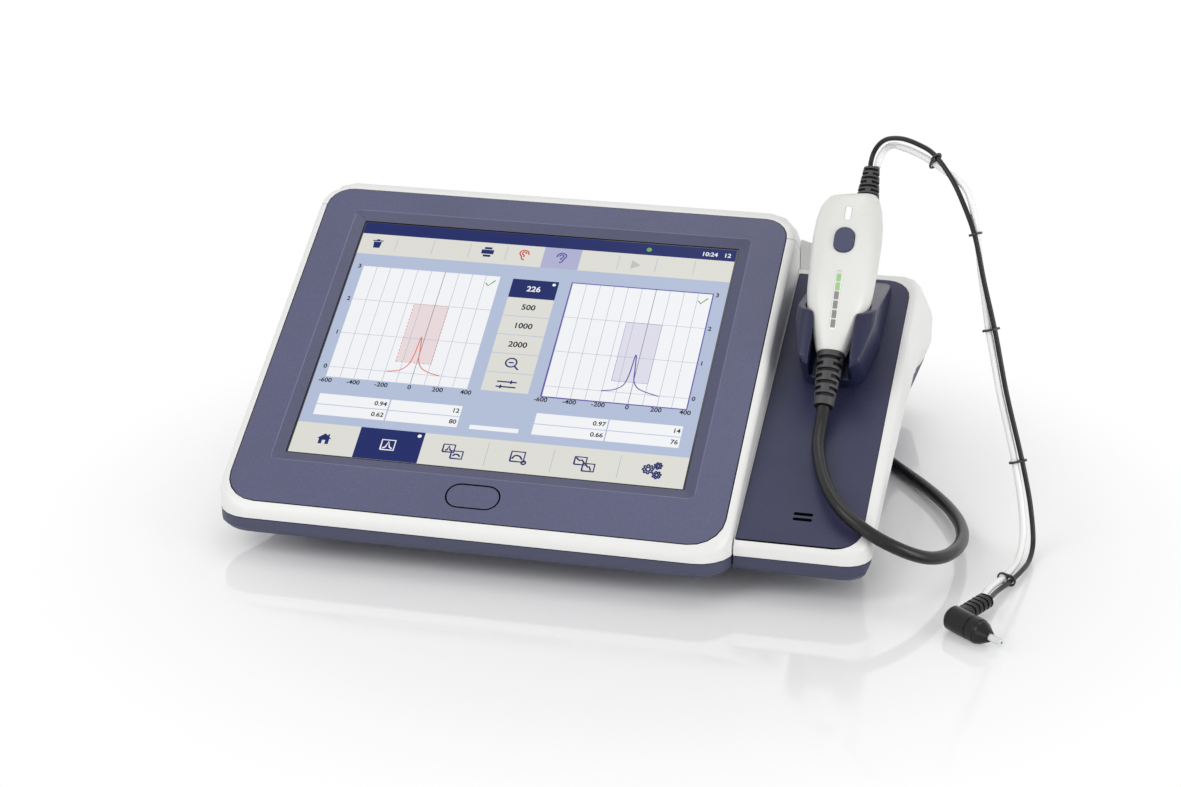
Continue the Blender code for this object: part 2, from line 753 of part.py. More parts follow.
def arc_points(centre, radius, first, last, steps):
    a, b = centre
    angles = [first + (last - first) * k / steps for k in range(steps + 1)]
    return [(a + radius * math.cos(angle), b + radius * math.sin(angle)) for angle in angles]


def across_rod(name, radius, at, height, half_length, steps=16, material=None):
    """Rod across the housing at one place of the back slope."""
    place = BACK_SIDE @ Matrix.Translation((at, height, 0))
    return turned(name, [(radius, -half_length), (radius, half_length)], place, steps, material)


def build_printer_lid():
    """Lid with a round hinge edge at its foot and two arms for the platen roller."""
    barrel = arc_points((HINGE_AT, -BARREL_RADIUS), BARREL_RADIUS, math.pi / 2, -math.pi / 2, 8)
    inner = HINGE_AT - BARREL_RADIUS * 3 / 2
    outline = [(LID_NEAR, 0)] + barrel + [(inner, -LID_THICK), (LID_NEAR, -LID_THICK)]
    hinge = empty_at("lid_axis", BACK_SIDE @ Matrix.Translation((HINGE_AT, -BARREL_RADIUS, 0)))
    lid = across_slope("printer_lid", outline, LID_WIDTH / 2, WHITE_PLASTIC)
    inside = PLATEN_LENGTH / 2 + GAP
    for side in (-1, 1):
        near, far = sorted((side * inside, side * (inside + ARM_WIDTH)))
        arm = [
            (PLATEN_AT - ARM_LENGTH / 2, -LID_THICK / 2),
            (PLATEN_AT + ARM_LENGTH / 2, -LID_THICK / 2),
            (PLATEN_AT + ARM_LENGTH / 4, -PLATEN_DROP - SHAFT_RADIUS * 2),
            (PLATEN_AT - ARM_LENGTH / 4, -PLATEN_DROP - SHAFT_RADIUS * 2),
        ]
        combine(lid, prism("lid_arm" + str(side), arm, BACK_SIDE, near, far), "UNION")
    reach = LID_WIDTH / 2 + OVERRUN
    combine(lid, across_rod("lid_pin_bore", PIN_RADIUS + PIN_CLEARANCE, HINGE_AT, -BARREL_RADIUS, reach))
    combine(lid, across_rod("lid_shaft_bore", SHAFT_RADIUS + PIN_CLEARANCE, PLATEN_AT, -PLATEN_DROP, reach))
    carry(lid, hinge)
    pin_half = LID_WIDTH / 2 + EAR_GAP + EAR_WIDTH * 3 / 4
    across_rod("lid_hinge_pin", PIN_RADIUS, HINGE_AT, -BARREL_RADIUS, pin_half, 12, SCREW_STEEL)


def build_platen():
    """Rubber platen roller on a steel shaft, carried by the lid's arms."""
    place = BACK_SIDE @ Matrix.Translation((PLATEN_AT, -PLATEN_DROP, 0))
    half = PLATEN_LENGTH / 2 - GAP
    shaft = PLATEN_LENGTH / 2 + ARM_WIDTH * 3 / 4
    profile = [
        (0, -shaft),
        (SHAFT_RADIUS, -shaft),
        (SHAFT_RADIUS, -half),
        (PLATEN_RADIUS, -half),
        (PLATEN_RADIUS, half),
        (SHAFT_RADIUS, half),
        (SHAFT_RADIUS, shaft),
        (0, shaft),
    ]
    smooth_round(turned("platen_roller", profile, place, 20, BLACK_RUBBER))


def build_paper():
    """Tub under the lid, the paper roll lying in it, and the print head unit at the tub's upper edge."""
    play = ROLL_RADIUS + BIN_PLAY
    wall = play + BIN_WALL
    top = -WALL - GAP
    centre = (ROLL_AT, -ROLL_DROP)
    side_end = HINGE_AT - BARREL_RADIUS * 3 / 2
    rear_top = -BARREL_RADIUS * 5 / 2
    outer = [(ROLL_AT - wall, top), (side_end, top), (side_end, rear_top), (ROLL_AT + wall, rear_top)]
    outer += arc_points(centre, wall, 0, -math.pi, 16)
    half = LID_WIDTH / 2 + GAP
    tub = across_slope("paper_bin", outer, half + BIN_WALL, BLACK_PLASTIC)
    inner = [(ROLL_AT - play, OVERRUN), (ROLL_AT + play, OVERRUN)] + arc_points(centre, play, 0, -math.pi, 16)
    combine(tub, across_slope("bin_hollow", inner, half))
    notch_low = -PLATEN_DROP - PLATEN_RADIUS - GAP * 2
    notch = [
        (ROLL_AT - wall - OVERRUN, notch_low),
        (ROLL_AT, notch_low),
        (ROLL_AT, OVERRUN),
        (ROLL_AT - wall - OVERRUN, OVERRUN),
    ]
    combine(tub, across_slope("bin_notch", notch, half))
    sag = BIN_PLAY - GAP
    lowest = (ROLL_AT + sag * math.sin(BACK_TILT), -ROLL_DROP - sag * math.cos(BACK_TILT), 0)
    place = BACK_SIDE @ Matrix.Translation(lowest)
    low = -ROLL_WIDTH / 2
    high = ROLL_WIDTH / 2
    profile = [(ROLL_BORE, low), (ROLL_RADIUS, low), (ROLL_RADIUS, high), (ROLL_BORE, high)]
    smooth_round(turned("paper_roll", profile, place, 28, PAPER_WHITE, hollow=True))
    head_far = PLATEN_AT - PLATEN_RADIUS - GAP * 4 / 3
    head = [
        (HEAD_NEAR, -WALL - GAP),
        (head_far, -WALL - GAP),
        (head_far, -WALL - HEAD_DEEP),
        (HEAD_NEAR + BIN_PLAY, -WALL - HEAD_DEEP),
    ]
    across_slope("print_head", head, HEAD_WIDTH / 2, GREY_METAL)


# Rear connections
PLATE_WIDTH = 0.112
PLATE_HEIGHT = 0.0220
PLATE_THICK = 0.0020
PLATE_MIDDLE = 0.020
PLATE_Z = 0.0340
INLET_AT = -0.020
INLET_WIDTH = 0.0150
INLET_HEIGHT = 0.0120
INLET_DEEP = 0.0140
INLET_PIN_RADIUS = 0.0012
USB_AT = 0.018
USB_WIDTH = 0.0140
USB_HEIGHT = 0.0070
USB_DEEP = 0.0130
USB_TONGUE = 0.0020
PORT_WALL = 0.0008
PORT_POCKET = 0.0090
SOCKET_AT = 0.060
SOCKET_RADIUS = 0.0070
SOCKET_BORE = 0.0043
SOCKET_POCKET = 0.0080
SOCKET_DEEP = 0.0120
SOCKET_PROUD = 0.0015
PLATE_PLACE = frame_at((MAIN_X, REAR_Y, PLATE_Z), -RIGHT, UP)


def plate_opening():
    """Hole for the connector plate in the rear wall."""
    outline = rounded_box(PLATE_WIDTH + 2 * GAP, PLATE_HEIGHT + 2 * GAP, PLATE_THICK, (-PLATE_MIDDLE, 0), 3)
    return prism("plate_opening", outline, PLATE_PLACE, -WALL - OVERRUN, OVERRUN)


def build_connectors():
    """Plate with a power inlet, a data port and the round probe socket."""
    edge = rounded_box(PLATE_WIDTH, PLATE_HEIGHT, PLATE_THICK, (-PLATE_MIDDLE, 0), 3)
    plate = prism("connector_plate", edge, PLATE_PLACE, -PLATE_THICK, 0, BLACK_PLASTIC)
    inlet = rounded_box(INLET_WIDTH, INLET_HEIGHT, PORT_WALL, (-INLET_AT, 0), 2)
    port = rounded_box(USB_WIDTH, USB_HEIGHT, PORT_WALL, (-USB_AT, 0), 2)
    holes = (
        ("inlet_hole", INLET_WIDTH, INLET_HEIGHT, INLET_AT),
        ("port_hole", USB_WIDTH, USB_HEIGHT, USB_AT),
    )
    for name, width, height, at in holes:
        shape = rounded_box(width + 2 * GAP, height + 2 * GAP, PORT_WALL, (-at, 0), 2)
        combine(plate, prism(name, shape, PLATE_PLACE, -PLATE_THICK - OVERRUN, OVERRUN))
    socket_place = PLATE_PLACE @ Matrix.Translation((-SOCKET_AT, 0, 0))
    hole_profile = [(SOCKET_RADIUS + GAP, -PLATE_THICK - OVERRUN), (SOCKET_RADIUS + GAP, OVERRUN)]
    combine(plate, turned("socket_hole", hole_profile, socket_place, 24))

    power = prism("power_inlet", inlet, PLATE_PLACE, -INLET_DEEP, 0, BLACK_PLASTIC)
    bore = INLET_HEIGHT / 2 - PORT_WALL
    inlet_place = PLATE_PLACE @ Matrix.Translation((-INLET_AT, 0, 0))
    well = [(bore, -PORT_POCKET), (bore, OVERRUN)]
    combine(power, turned("inlet_well", well, inlet_place, 16))
    contact = [(INLET_PIN_RADIUS, -PORT_POCKET - PORT_WALL), (INLET_PIN_RADIUS, -PORT_WALL)]
    combine(power, turned("inlet_contact", contact, inlet_place, 8), "UNION")

    data = prism("data_port", port, PLATE_PLACE, -USB_DEEP, 0, GREY_METAL)
    mouth = rounded_box(USB_WIDTH - 2 * PORT_WALL, USB_HEIGHT - 2 * PORT_WALL, PORT_WALL / 2, (-USB_AT, 0), 2)
    combine(data, prism("port_mouth", mouth, PLATE_PLACE, -PORT_POCKET, OVERRUN))
    tongue = rounded_box(USB_WIDTH - 4 * PORT_WALL, USB_TONGUE, PORT_WALL / 2, (-USB_AT, USB_TONGUE / 2), 2)
    combine(data, prism("port_tongue", tongue, PLATE_PLACE, -PORT_POCKET - PORT_WALL, -PORT_WALL), "UNION")

    profile = [
        (0, -SOCKET_DEEP),
        (SOCKET_RADIUS, -SOCKET_DEEP),
        (SOCKET_RADIUS, SOCKET_PROUD),
        (SOCKET_BORE, SOCKET_PROUD),
        (SOCKET_BORE, SOCKET_PROUD - SOCKET_POCKET),
        (0, SOCKET_PROUD - SOCKET_POCKET),
    ]
    smooth_round(turned("probe_socket", profile, socket_place, 24, GREY_METAL))


# Feet, each held by a screw that ends in a boss of the bottom shell
BELLY_SIDE = 0.036
BELLY_RIGHT = 0.012
BELLY_FRONT = 0.033
BELLY_REAR = 0.022
BELLY_CORNER = 0.014
BELLY_DRAFT = 0.002
FOOT_RADIUS = 0.0090
FOOT_INSET = 0.0130
FOOT_EDGE = 0.0010
SCREW_HEAD_RADIUS = 0.0034
SCREW_HEAD_TALL = 0.0018
SCREW_SHANK = 0.0013
SCREW_LONG = 0.0090
SCREW_RECESS = 0.0008
BOSS_RADIUS = 0.0042
BOSS_TALL = 0.0070
BELLY_LEFT_X = LEFT_X + BELLY_SIDE
BELLY_RIGHT_X = MAIN_RIGHT_X - BELLY_RIGHT
BELLY_FRONT_Y = FRONT_Y + BELLY_FRONT
BELLY_REAR_Y = REAR_Y - BELLY_REAR
FOOT_PLACES = [
    (x, y)
    for y in (BELLY_FRONT_Y + FOOT_INSET, BELLY_REAR_Y - FOOT_INSET)
    for x in (BELLY_LEFT_X + FOOT_INSET, BELLY_RIGHT_X - FOOT_INSET)
]


def belly_outline(inset):
    low_x = BELLY_LEFT_X + inset
    high_x = BELLY_RIGHT_X - inset
    low_y = BELLY_FRONT_Y + inset
    high_y = BELLY_REAR_Y - inset
    corners = [(low_x, low_y), (high_x, low_y), (high_x, high_y), (low_x, high_y)]
    return rounded([(x, y, BELLY_CORNER - inset) for x, y in corners])


def belly_body(name, inset):
    """Raised floor under the main half, a little wider at its top."""
    low = BELLY_Z + inset
    high = BASE_Z + WALL / 2 + inset * 3
    rings = [
        [(x, y, low) for x, y in belly_outline(BELLY_DRAFT + inset)],
        [(x, y, high) for x, y in belly_outline(inset)],
    ]
    return loft(name, rings, PLAN_VIEW, None)


def build_feet():
    for number, (x, y) in enumerate(FOOT_PLACES, 1):
        place = Matrix.Translation((x, y, 0))
        top = BELLY_Z - GAP
        head_top = SCREW_RECESS + SCREW_HEAD_TALL
        seat = head_top + GAP
        well = SCREW_HEAD_RADIUS + GAP
        bore = SCREW_SHANK + GAP
        profile = [
            (well, 0),
            (FOOT_RADIUS - FOOT_EDGE, 0),
            (FOOT_RADIUS, FOOT_EDGE),
            (FOOT_RADIUS, top),
            (bore, top),
            (bore, seat),
            (well, seat),
        ]
        smooth_round(turned(f"foot_{number}", profile, place, 18, BLACK_RUBBER, hollow=True))
        screw = [
            (0, SCREW_RECESS),
            (SCREW_HEAD_RADIUS, SCREW_RECESS),
            (SCREW_HEAD_RADIUS, head_top),
            (SCREW_SHANK, head_top),
            (SCREW_SHANK, head_top + SCREW_LONG),
            (0, head_top + SCREW_LONG),
        ]
        smooth_round(turned(f"foot_screw_{number}", screw, place, 10, SCREW_STEEL))


# Main board, pump and valve block on the floor of the bottom shell
FLOOR_Z = BELLY_Z + WALL
BOARD_THICK = 0.0016
BOARD_RISE = 0.0050
BOARD_SIDE_ROOM = 0.0592
BOARD_WIDTH = MAIN_WIDTH - 2 * BOARD_SIDE_ROOM
BOARD_LENGTH = 0.140
BOARD_FROM_CENTRE = -0.014
BOARD_FROM_FRONT = 0.135
BOARD_POST = 0.0030
CHIP_SIDE = 0.024
CHIP_TALL = 0.0022
SHIELD_WIDTH = 0.036
SHIELD_LENGTH = 0.028
SHIELD_TALL = 0.0050
HEADER_WIDTH = 0.030
HEADER_LENGTH = 0.006
HEADER_TALL = 0.0065
PUMP_WIDTH = 0.030
PUMP_LENGTH = 0.034
PUMP_TALL = 0.030
PUMP_FROM_SIDE = 0.0492
PUMP_FROM_FRONT = 0.178
MOTOR_RADIUS = 0.012
MOTOR_LENGTH = 0.030
NIPPLE_RADIUS = 0.0016
NIPPLE_LENGTH = 0.0060
BLOCK_WIDTH = 0.026
BLOCK_LENGTH = 0.020
BLOCK_TALL = 0.016
BLOCK_FROM_FRONT = 0.100
VALVE_RADIUS = 0.0050
VALVE_TALL = 0.0100
HOSE_RADIUS = 0.0022
BOARD_X = MAIN_X + BOARD_FROM_CENTRE
BOARD_Y = FRONT_Y + BOARD_FROM_FRONT
BOARD_LOW = FLOOR_Z + BOARD_RISE + GAP
BOARD_TOP = BOARD_LOW + BOARD_THICK
POST_PLACES = [
    (BOARD_X + side * (BOARD_WIDTH / 2 - 2 * BOARD_POST), BOARD_Y + end * (BOARD_LENGTH / 2 - 2 * BOARD_POST))
    for end in (-1, 1)
    for side in (-1, 1)
]
PUMP_X = MAIN_RIGHT_X - PUMP_FROM_SIDE
PUMP_Y = FRONT_Y + PUMP_FROM_FRONT
BLOCK_Y = FRONT_Y + BLOCK_FROM_FRONT
NIPPLE_Z = FLOOR_Z + GAP + BLOCK_TALL / 2


def centred_box(name, x, y, width, length, low, high, material=None):
    return box(name, (x - width / 2, y - length / 2, low), (x + width / 2, y + length / 2, high), material)


def build_board():
    """Main board with a few of its parts, on four posts of the bottom shell."""
    size = (BOARD_WIDTH, BOARD_LENGTH)
    board = centred_box("main_board", BOARD_X, BOARD_Y, *size, BOARD_LOW, BOARD_TOP, BOARD_GREEN)
    sunk = BOARD_TOP - BOARD_THICK / 2
    rear = BOARD_LENGTH / 2 - HEADER_LENGTH
    parts = [
        ("chip", -CHIP_SIDE, 0, CHIP_SIDE, CHIP_SIDE, CHIP_TALL),
        ("shield", SHIELD_WIDTH, SHIELD_LENGTH, SHIELD_WIDTH, SHIELD_LENGTH, SHIELD_TALL),
        ("header_front", 0, -rear, HEADER_WIDTH, HEADER_LENGTH, HEADER_TALL),
        ("header_rear", -SHIELD_WIDTH, rear, HEADER_WIDTH, HEADER_LENGTH, HEADER_TALL),
    ]
    for name, x, y, width, length, tall in parts:
        block = centred_box(name, BOARD_X + x, BOARD_Y + y, width, length, sunk, BOARD_TOP + tall)
        combine(board, block, "UNION")


def build_air_system():
    """Pump with its motor and the valve block, joined by a short hose."""
    low = FLOOR_Z + GAP
    size = (PUMP_WIDTH, PUMP_LENGTH)
    pump = centred_box("air_pump", PUMP_X, PUMP_Y, *size, low, low + PUMP_TALL, BLACK_PLASTIC)
    axis = frame_at((PUMP_X, PUMP_Y, low + PUMP_TALL / 2), RIGHT, UP)
    motor = [(MOTOR_RADIUS, -PUMP_LENGTH / 2 - MOTOR_LENGTH), (MOTOR_RADIUS, 0)]
    combine(pump, turned("pump_motor", motor, axis, 20), "UNION")
    pump_mouth = frame_at((PUMP_X, PUMP_Y - PUMP_LENGTH / 2, NIPPLE_Z), RIGHT, UP)
    nipple = [(NIPPLE_RADIUS, -NIPPLE_RADIUS), (NIPPLE_RADIUS, NIPPLE_LENGTH)]
    combine(pump, turned("pump_nipple", nipple, pump_mouth, 10), "UNION")
    size = (BLOCK_WIDTH, BLOCK_LENGTH)
    block = centred_box("valve_block", PUMP_X, BLOCK_Y, *size, low, low + BLOCK_TALL, GREY_METAL)
    block_mouth = frame_at((PUMP_X, BLOCK_Y + BLOCK_LENGTH / 2, NIPPLE_Z), -RIGHT, UP)
    combine(block, turned("block_nipple", nipple, block_mouth, 10), "UNION")
    for side in (-1, 1):
        coil_place = Matrix.Translation((PUMP_X + side * BLOCK_WIDTH / 4, BLOCK_Y, low + BLOCK_TALL))
        coil = [(VALVE_RADIUS, -VALVE_RADIUS), (VALVE_RADIUS, VALVE_TALL)]
        combine(block, turned("valve_coil" + str(side), coil, coil_place, 16), "UNION")
    start = BLOCK_Y + BLOCK_LENGTH / 2 + GAP
    end = PUMP_Y - PUMP_LENGTH / 2 - GAP
    hose_place = frame_at((PUMP_X, start, NIPPLE_Z), -RIGHT, UP)
    bore = NIPPLE_RADIUS + GAP
    span = end - start
    hose = [(bore, 0), (HOSE_RADIUS + GAP, 0), (HOSE_RADIUS + GAP, span), (bore, span)]
    smooth_round(turned("pump_hose", hose, hose_place, 12, CLEAR_TUBE, hollow=True))


def build_main_housing():
    """Front frame, rear cover and bottom shell of the main half, and all that is cut in them."""
    cavity = main_body("main_cavity", WALL)
    frame_cuts = [
        (below_seam("frame_seam", GAP / 2, MAIN_SEAM_RISE), "DIFFERENCE"),
        (behind_seam("frame_rear_seam", -GAP / 2), "DIFFERENCE"),
    ]
    front = cut_shell("front_frame", WHITE_PLASTIC, main_body("front_frame", 0), cavity, frame_cuts)
    cut_inlay_seat(front)

    cover = main_body("rear_cover", 0)
    cover_cuts = [
        (below_seam("cover_seam", GAP / 2, MAIN_SEAM_RISE), "DIFFERENCE"),
        (before_seam("cover_front_seam", GAP / 2), "DIFFERENCE"),
    ]
    cover = cut_shell("rear_cover", WHITE_PLASTIC, cover, cavity, cover_cuts)
    cut_inlay_seat(cover)
    ear_low = -BARREL_RADIUS * 2
    ear = [
        (HINGE_AT - BARREL_RADIUS, -WALL / 2),
        (HINGE_AT + BARREL_RADIUS, -WALL / 2),
        (HINGE_AT + BARREL_RADIUS, ear_low),
        (HINGE_AT - BARREL_RADIUS, ear_low),
    ]
    inner = LID_WIDTH / 2 + EAR_GAP
    for side in (-1, 1):
        near, far = sorted((side * inner, side * (inner + EAR_WIDTH)))
        combine(cover, prism("cover_ear" + str(side), ear, BACK_SIDE, near, far), "UNION")
    opening = [
        (LID_NEAR - PAPER_SLOT, -WALL - OVERRUN),
        (HINGE_AT + BARREL_RADIUS + EAR_GAP, -WALL - OVERRUN),
        (HINGE_AT + BARREL_RADIUS + EAR_GAP, OVERRUN),
        (LID_NEAR - PAPER_SLOT, OVERRUN),
    ]
    combine(cover, across_slope("lid_opening", opening, LID_WIDTH / 2 + GAP))
    bore_half = inner + EAR_WIDTH + OVERRUN
    bore_radius = PIN_RADIUS + PIN_CLEARANCE
    combine(cover, across_rod("ear_bore", bore_radius, HINGE_AT, -BARREL_RADIUS, bore_half, 12))

    base = main_body("bottom_shell", 0)
    combine(base, belly_body("belly", 0), "UNION")
    base_cuts = [
        (belly_body("belly_hollow", WALL), "DIFFERENCE"),
        (above_seam("base_seam", -GAP / 2, MAIN_SEAM_RISE), "DIFFERENCE"),
        (plate_opening(), "DIFFERENCE"),
    ]
    base = cut_shell("bottom_shell", BLUE_PLASTIC, base, cavity, base_cuts)
    for number, (x, y) in enumerate(POST_PLACES, 1):
        profile = [(BOARD_POST, FLOOR_Z - WALL / 2), (BOARD_POST, FLOOR_Z + BOARD_RISE)]
        post = turned(f"board_post_{number}", profile, Matrix.Translation((x, y, 0)), 12)
        combine(base, post, "UNION", "MANIFOLD")
    for number, (x, y) in enumerate(FOOT_PLACES, 1):
        place = Matrix.Translation((x, y, 0))
        boss = [(BOSS_RADIUS, FLOOR_Z - WALL / 2), (BOSS_RADIUS, FLOOR_Z + BOSS_TALL)]
        combine(base, turned(f"foot_boss_{number}", boss, place, 16), "UNION", "MANIFOLD")
        bore = [(SCREW_SHANK + GAP, -OVERRUN), (SCREW_SHANK + GAP, FLOOR_Z + BOSS_TALL - WALL / 2)]
        combine(base, turned(f"boss_bore_{number}", bore, place, 12))


# Side wing: white frame, blue shell below, blue inlay with the sound slots, loudspeaker behind them
RAMP_LENGTH = 0.062
RAMP_BEFORE_REAR = 0.0138
RAMP_RISE = 0.0172
RAMP_KNEE_RISE = 0.0142
RAMP_END_RISE = -0.0013
RAMP_KNEE_AT = 0.0105
RAMP_WIDTH = 0.0435
RAMP_SUNK = 0.0235
SLOT_LENGTH = 0.0098
SLOT_HIGH = 0.0020
SLOT_STEP = 0.0036
SLOT_AT = 0.0185
SPEAKER_RADIUS = 0.0140
SPEAKER_MAGNET = 0.0080
SPEAKER_RIM = 0.0020
SPEAKER_DEEP = 0.0080


def shoulder_ramp():
    """Raised shoulder behind the probe, falling with the wing's back slope."""
    ridge = WING_FACE_Z + WING_INLAY_LENGTH * math.sin(WING_TILT)
    low = ridge + RAMP_RISE - RAMP_SUNK
    shape = [
        (WING_LEFT_X, low),
        (WING_LEFT_X + RAMP_WIDTH, low),
        (WING_LEFT_X + RAMP_WIDTH, ridge + RAMP_END_RISE),
        (WING_LEFT_X + RAMP_KNEE_AT, ridge + RAMP_KNEE_RISE),
        (WING_LEFT_X, ridge + RAMP_RISE),
    ]
    fall = RAMP_LENGTH * math.tan(WING_BACK_TILT)
    rear_y = REAR_Y - RAMP_BEFORE_REAR
    front = [(x, rear_y - RAMP_LENGTH, z) for x, z in shape]
    rear = [(x, rear_y, z - fall) for x, z in shape]
    return loft("shoulder_ramp", [front, rear], PLAN_VIEW, None)


def build_wing():
    cavity = wing_body("wing_cavity", WALL)
    frame = wing_body("wing_frame", 0)
    combine(frame, shoulder_ramp(), "UNION")
    frame = cut_shell(
        "wing_frame",
        WHITE_PLASTIC,
        frame,
        cavity,
        [(below_seam("wing_frame_seam", GAP / 2, WING_SEAM_RISE), "DIFFERENCE")],
    )
    pocket = prism("wing_pocket", wing_inlay_outline(GAP), WING_PLACE, -WING_INLAY_THICK - GAP, OVERRUN)
    opening = prism("wing_opening", wing_inlay_outline(-WING_LEDGE), WING_PLACE, -FAR / 20, 0)
    combine(frame, pocket)
    combine(frame, opening)
    base_cuts = [(above_seam("wing_base_seam", -GAP / 2, WING_SEAM_RISE), "DIFFERENCE")]
    cut_shell("wing_base", BLUE_PLASTIC, wing_body("wing_base", 0), cavity, base_cuts)

    inlay = prism("wing_inlay", wing_inlay_outline(0), WING_PLACE, -WING_INLAY_THICK, 0, BLUE_PLASTIC)
    for side in (-1, 1):
        centre = (0, SLOT_AT + side * SLOT_STEP / 2)
        slot = rounded_box(SLOT_LENGTH, SLOT_HIGH, SLOT_HIGH / 2 - GAP / 10, centre, 3)
        deep = -WING_INLAY_THICK - OVERRUN
        combine(inlay, prism("sound_slot" + str(side), slot, WING_PLACE, deep, OVERRUN))
    speaker_place = WING_PLACE @ Matrix.Translation((0, SLOT_AT, -WING_INLAY_THICK - GAP))
    profile = [
        (0, -SPEAKER_DEEP),
        (SPEAKER_MAGNET, -SPEAKER_DEEP),
        (SPEAKER_MAGNET, -SPEAKER_DEEP / 2),
        (SPEAKER_RADIUS, -SPEAKER_RIM),
        (SPEAKER_RADIUS, 0),
        (SPEAKER_RADIUS - SPEAKER_RIM, 0),
        (SPEAKER_MAGNET / 2, -SPEAKER_DEEP / 3),
        (0, -SPEAKER_DEEP / 3),
    ]
    smooth_round(turned("loudspeaker", profile, speaker_place, 24, BLACK_PLASTIC))


# Hand-held probe
PROBE_IN_WING = 0.0313
PROBE_FROM_FRONT = 0.1130
PROBE_LOW_Z = 0.0936
PROBE_TILT = math.radians(45)
PROBE_LENGTH = 0.0930
PROBE_HALF_WIDTH = 0.0182
PROBE_HALF_THICK = 0.0125
PROBE_WALL = 0.0020
PROBE_ROUND = 2.5
PROBE_STEPS = 24
# Shares of its length from its lower end, of its half width and of its half thickness
PROBE_SHARES = (
    (0.000, 0.400, 0.540),
    (0.015, 0.450, 0.600),
    (0.065, 0.527, 0.672),
    (0.161, 0.692, 0.800),
    (0.269, 0.868, 0.920),
    (0.376, 0.945, 0.976),
    (0.538, 0.989, 1.000),
    (0.699, 1.000, 0.976),
    (0.806, 0.970, 0.925),
    (0.892, 0.895, 0.850),
    (0.957, 0.795, 0.765),
    (0.989, 0.705, 0.665),
    (1.000, 0.610, 0.560),
)
PROBE_ORIGIN = Vector((WING_LEFT_X + PROBE_IN_WING, FRONT_Y + PROBE_FROM_FRONT, PROBE_LOW_Z))
PROBE_PLACE = frame_at(PROBE_ORIGIN, RIGHT, slope(PROBE_TILT))

# Places along the probe go by shares of its length
PRESS_SHARE = 0.645
STATUS_SHARE = 0.8194
LEVEL_SHARE = 0.2796
LEVEL_LENGTH_SHARE = 0.3495
BOARD_LENGTH_SHARE = 0.6667
BOARD_SHARE = 0.4946
PRESS_LENGTH = 0.0144
PRESS_WIDTH = 0.0104
PRESS_AT = PROBE_LENGTH * PRESS_SHARE
PRESS_TRAVEL = 0.0010
PRESS_PROUD = 0.0008
PRESS_LIP = 0.0012
PRESS_LIP_THICK = 0.0012
PRESS_CORNER = 0.0050
STATUS_WIDTH = 0.0032
STATUS_LENGTH = 0.0085
STATUS_AT = PROBE_LENGTH * STATUS_SHARE
LEVEL_WIDTH = 0.0032
LEVEL_LENGTH = PROBE_LENGTH * LEVEL_LENGTH_SHARE
LEVEL_AT = PROBE_LENGTH * LEVEL_SHARE
PIPE_LOW = 0.0030
PROBE_BOARD_WIDTH = 0.0185
PROBE_BOARD_LENGTH = PROBE_LENGTH * BOARD_LENGTH_SHARE
PROBE_BOARD_AT = PROBE_LENGTH * BOARD_SHARE
PROBE_BOARD_TOP = 0.0010
PROBE_POST = 0.0030
SWITCH_WIDTH = 0.0070
LED_SIDE = 0.0022

BOOT_TOP_RADIUS = 0.0069
BOOT_END_RADIUS = 0.0049
BOOT_LENGTH = 0.0295
BOOT_SINK = 0.0040
BOOT_RIBS = 5
RIB_DEPTH = 0.0009
UPPER_BOOT_AT = 0.0082
UPPER_BOOT_WIDTH = 0.0110
UPPER_BOOT_THICK = 0.0080
UPPER_BOOT_END_SHARE = 0.72
UPPER_BOOT_SUNK = 0.0015
UPPER_BOOT_LENGTH = 0.0165
UPPER_BOOT_START = PROBE_LENGTH - UPPER_BOOT_SUNK
UPPER_BOOT_END = PROBE_LENGTH + UPPER_BOOT_LENGTH
UPPER_BOOT_RIBS = 4


def probe_body(name, grow):
    """Closed probe shape in the probe's own frame; grow moves its surface out or in."""
    rings = []
    for along, wide, thick in PROBE_SHARES:
        width = wide * PROBE_HALF_WIDTH + grow
        depth = thick * PROBE_HALF_THICK + grow
        middle = PROBE_LENGTH / 2
        level = middle + (along * PROBE_LENGTH - middle) * (1 + grow / middle)
        ring = []
        for k in range(PROBE_STEPS):
            angle = math.tau * k / PROBE_STEPS
            a = math.copysign(abs(math.cos(angle)) ** (2 / PROBE_ROUND), math.cos(angle))
            b = math.copysign(abs(math.sin(angle)) ** (2 / PROBE_ROUND), math.sin(angle))
            ring.append((width * a, level, depth * b))
        rings.append(ring)
    return loft(name, rings, PROBE_PLACE, None)


def probe_prism(name, outline, low, high, material=None):
    return prism(name, outline, PROBE_PLACE, low, high, material)


def probe_half(name, side, hollow, material):
    """Front or back half of the probe's housing."""
    shell = probe_body(name, 0)
    shell.data.materials.append(material)
    combine(shell, hollow)
    reach = PROBE_LENGTH
    near, far = sorted((side * GAP / 2, -side * reach))
    slab = rounded_box(2 * reach, 4 * reach, 0)
    combine(shell, probe_prism(name + "_split", slab, near, far))
    lower = frame_at(PROBE_ORIGIN, RIGHT, PROBE_PLACE.col[2].to_3d())
    collar = BOOT_TOP_RADIUS - RIB_DEPTH - GAP * 2
    lower_hole = [(collar + GAP, -PROBE_LENGTH / 4), (collar + GAP, PROBE_LENGTH / 4)]
    combine(shell, turned(name + "_lower_hole", lower_hole, lower, 20))
    slot = upper_boot_outline(-RIB_DEPTH + GAP)
    top_place = PROBE_PLACE @ Matrix.Translation((UPPER_BOOT_AT, UPPER_BOOT_START, 0)) @ TOP_TURN
    combine(shell, prism(name + "_upper_hole", slot, top_place, -PROBE_LENGTH / 8, PROBE_LENGTH / 8))
    return shell


TOP_TURN = frame_at((0, 0, 0), RIGHT, -UP)


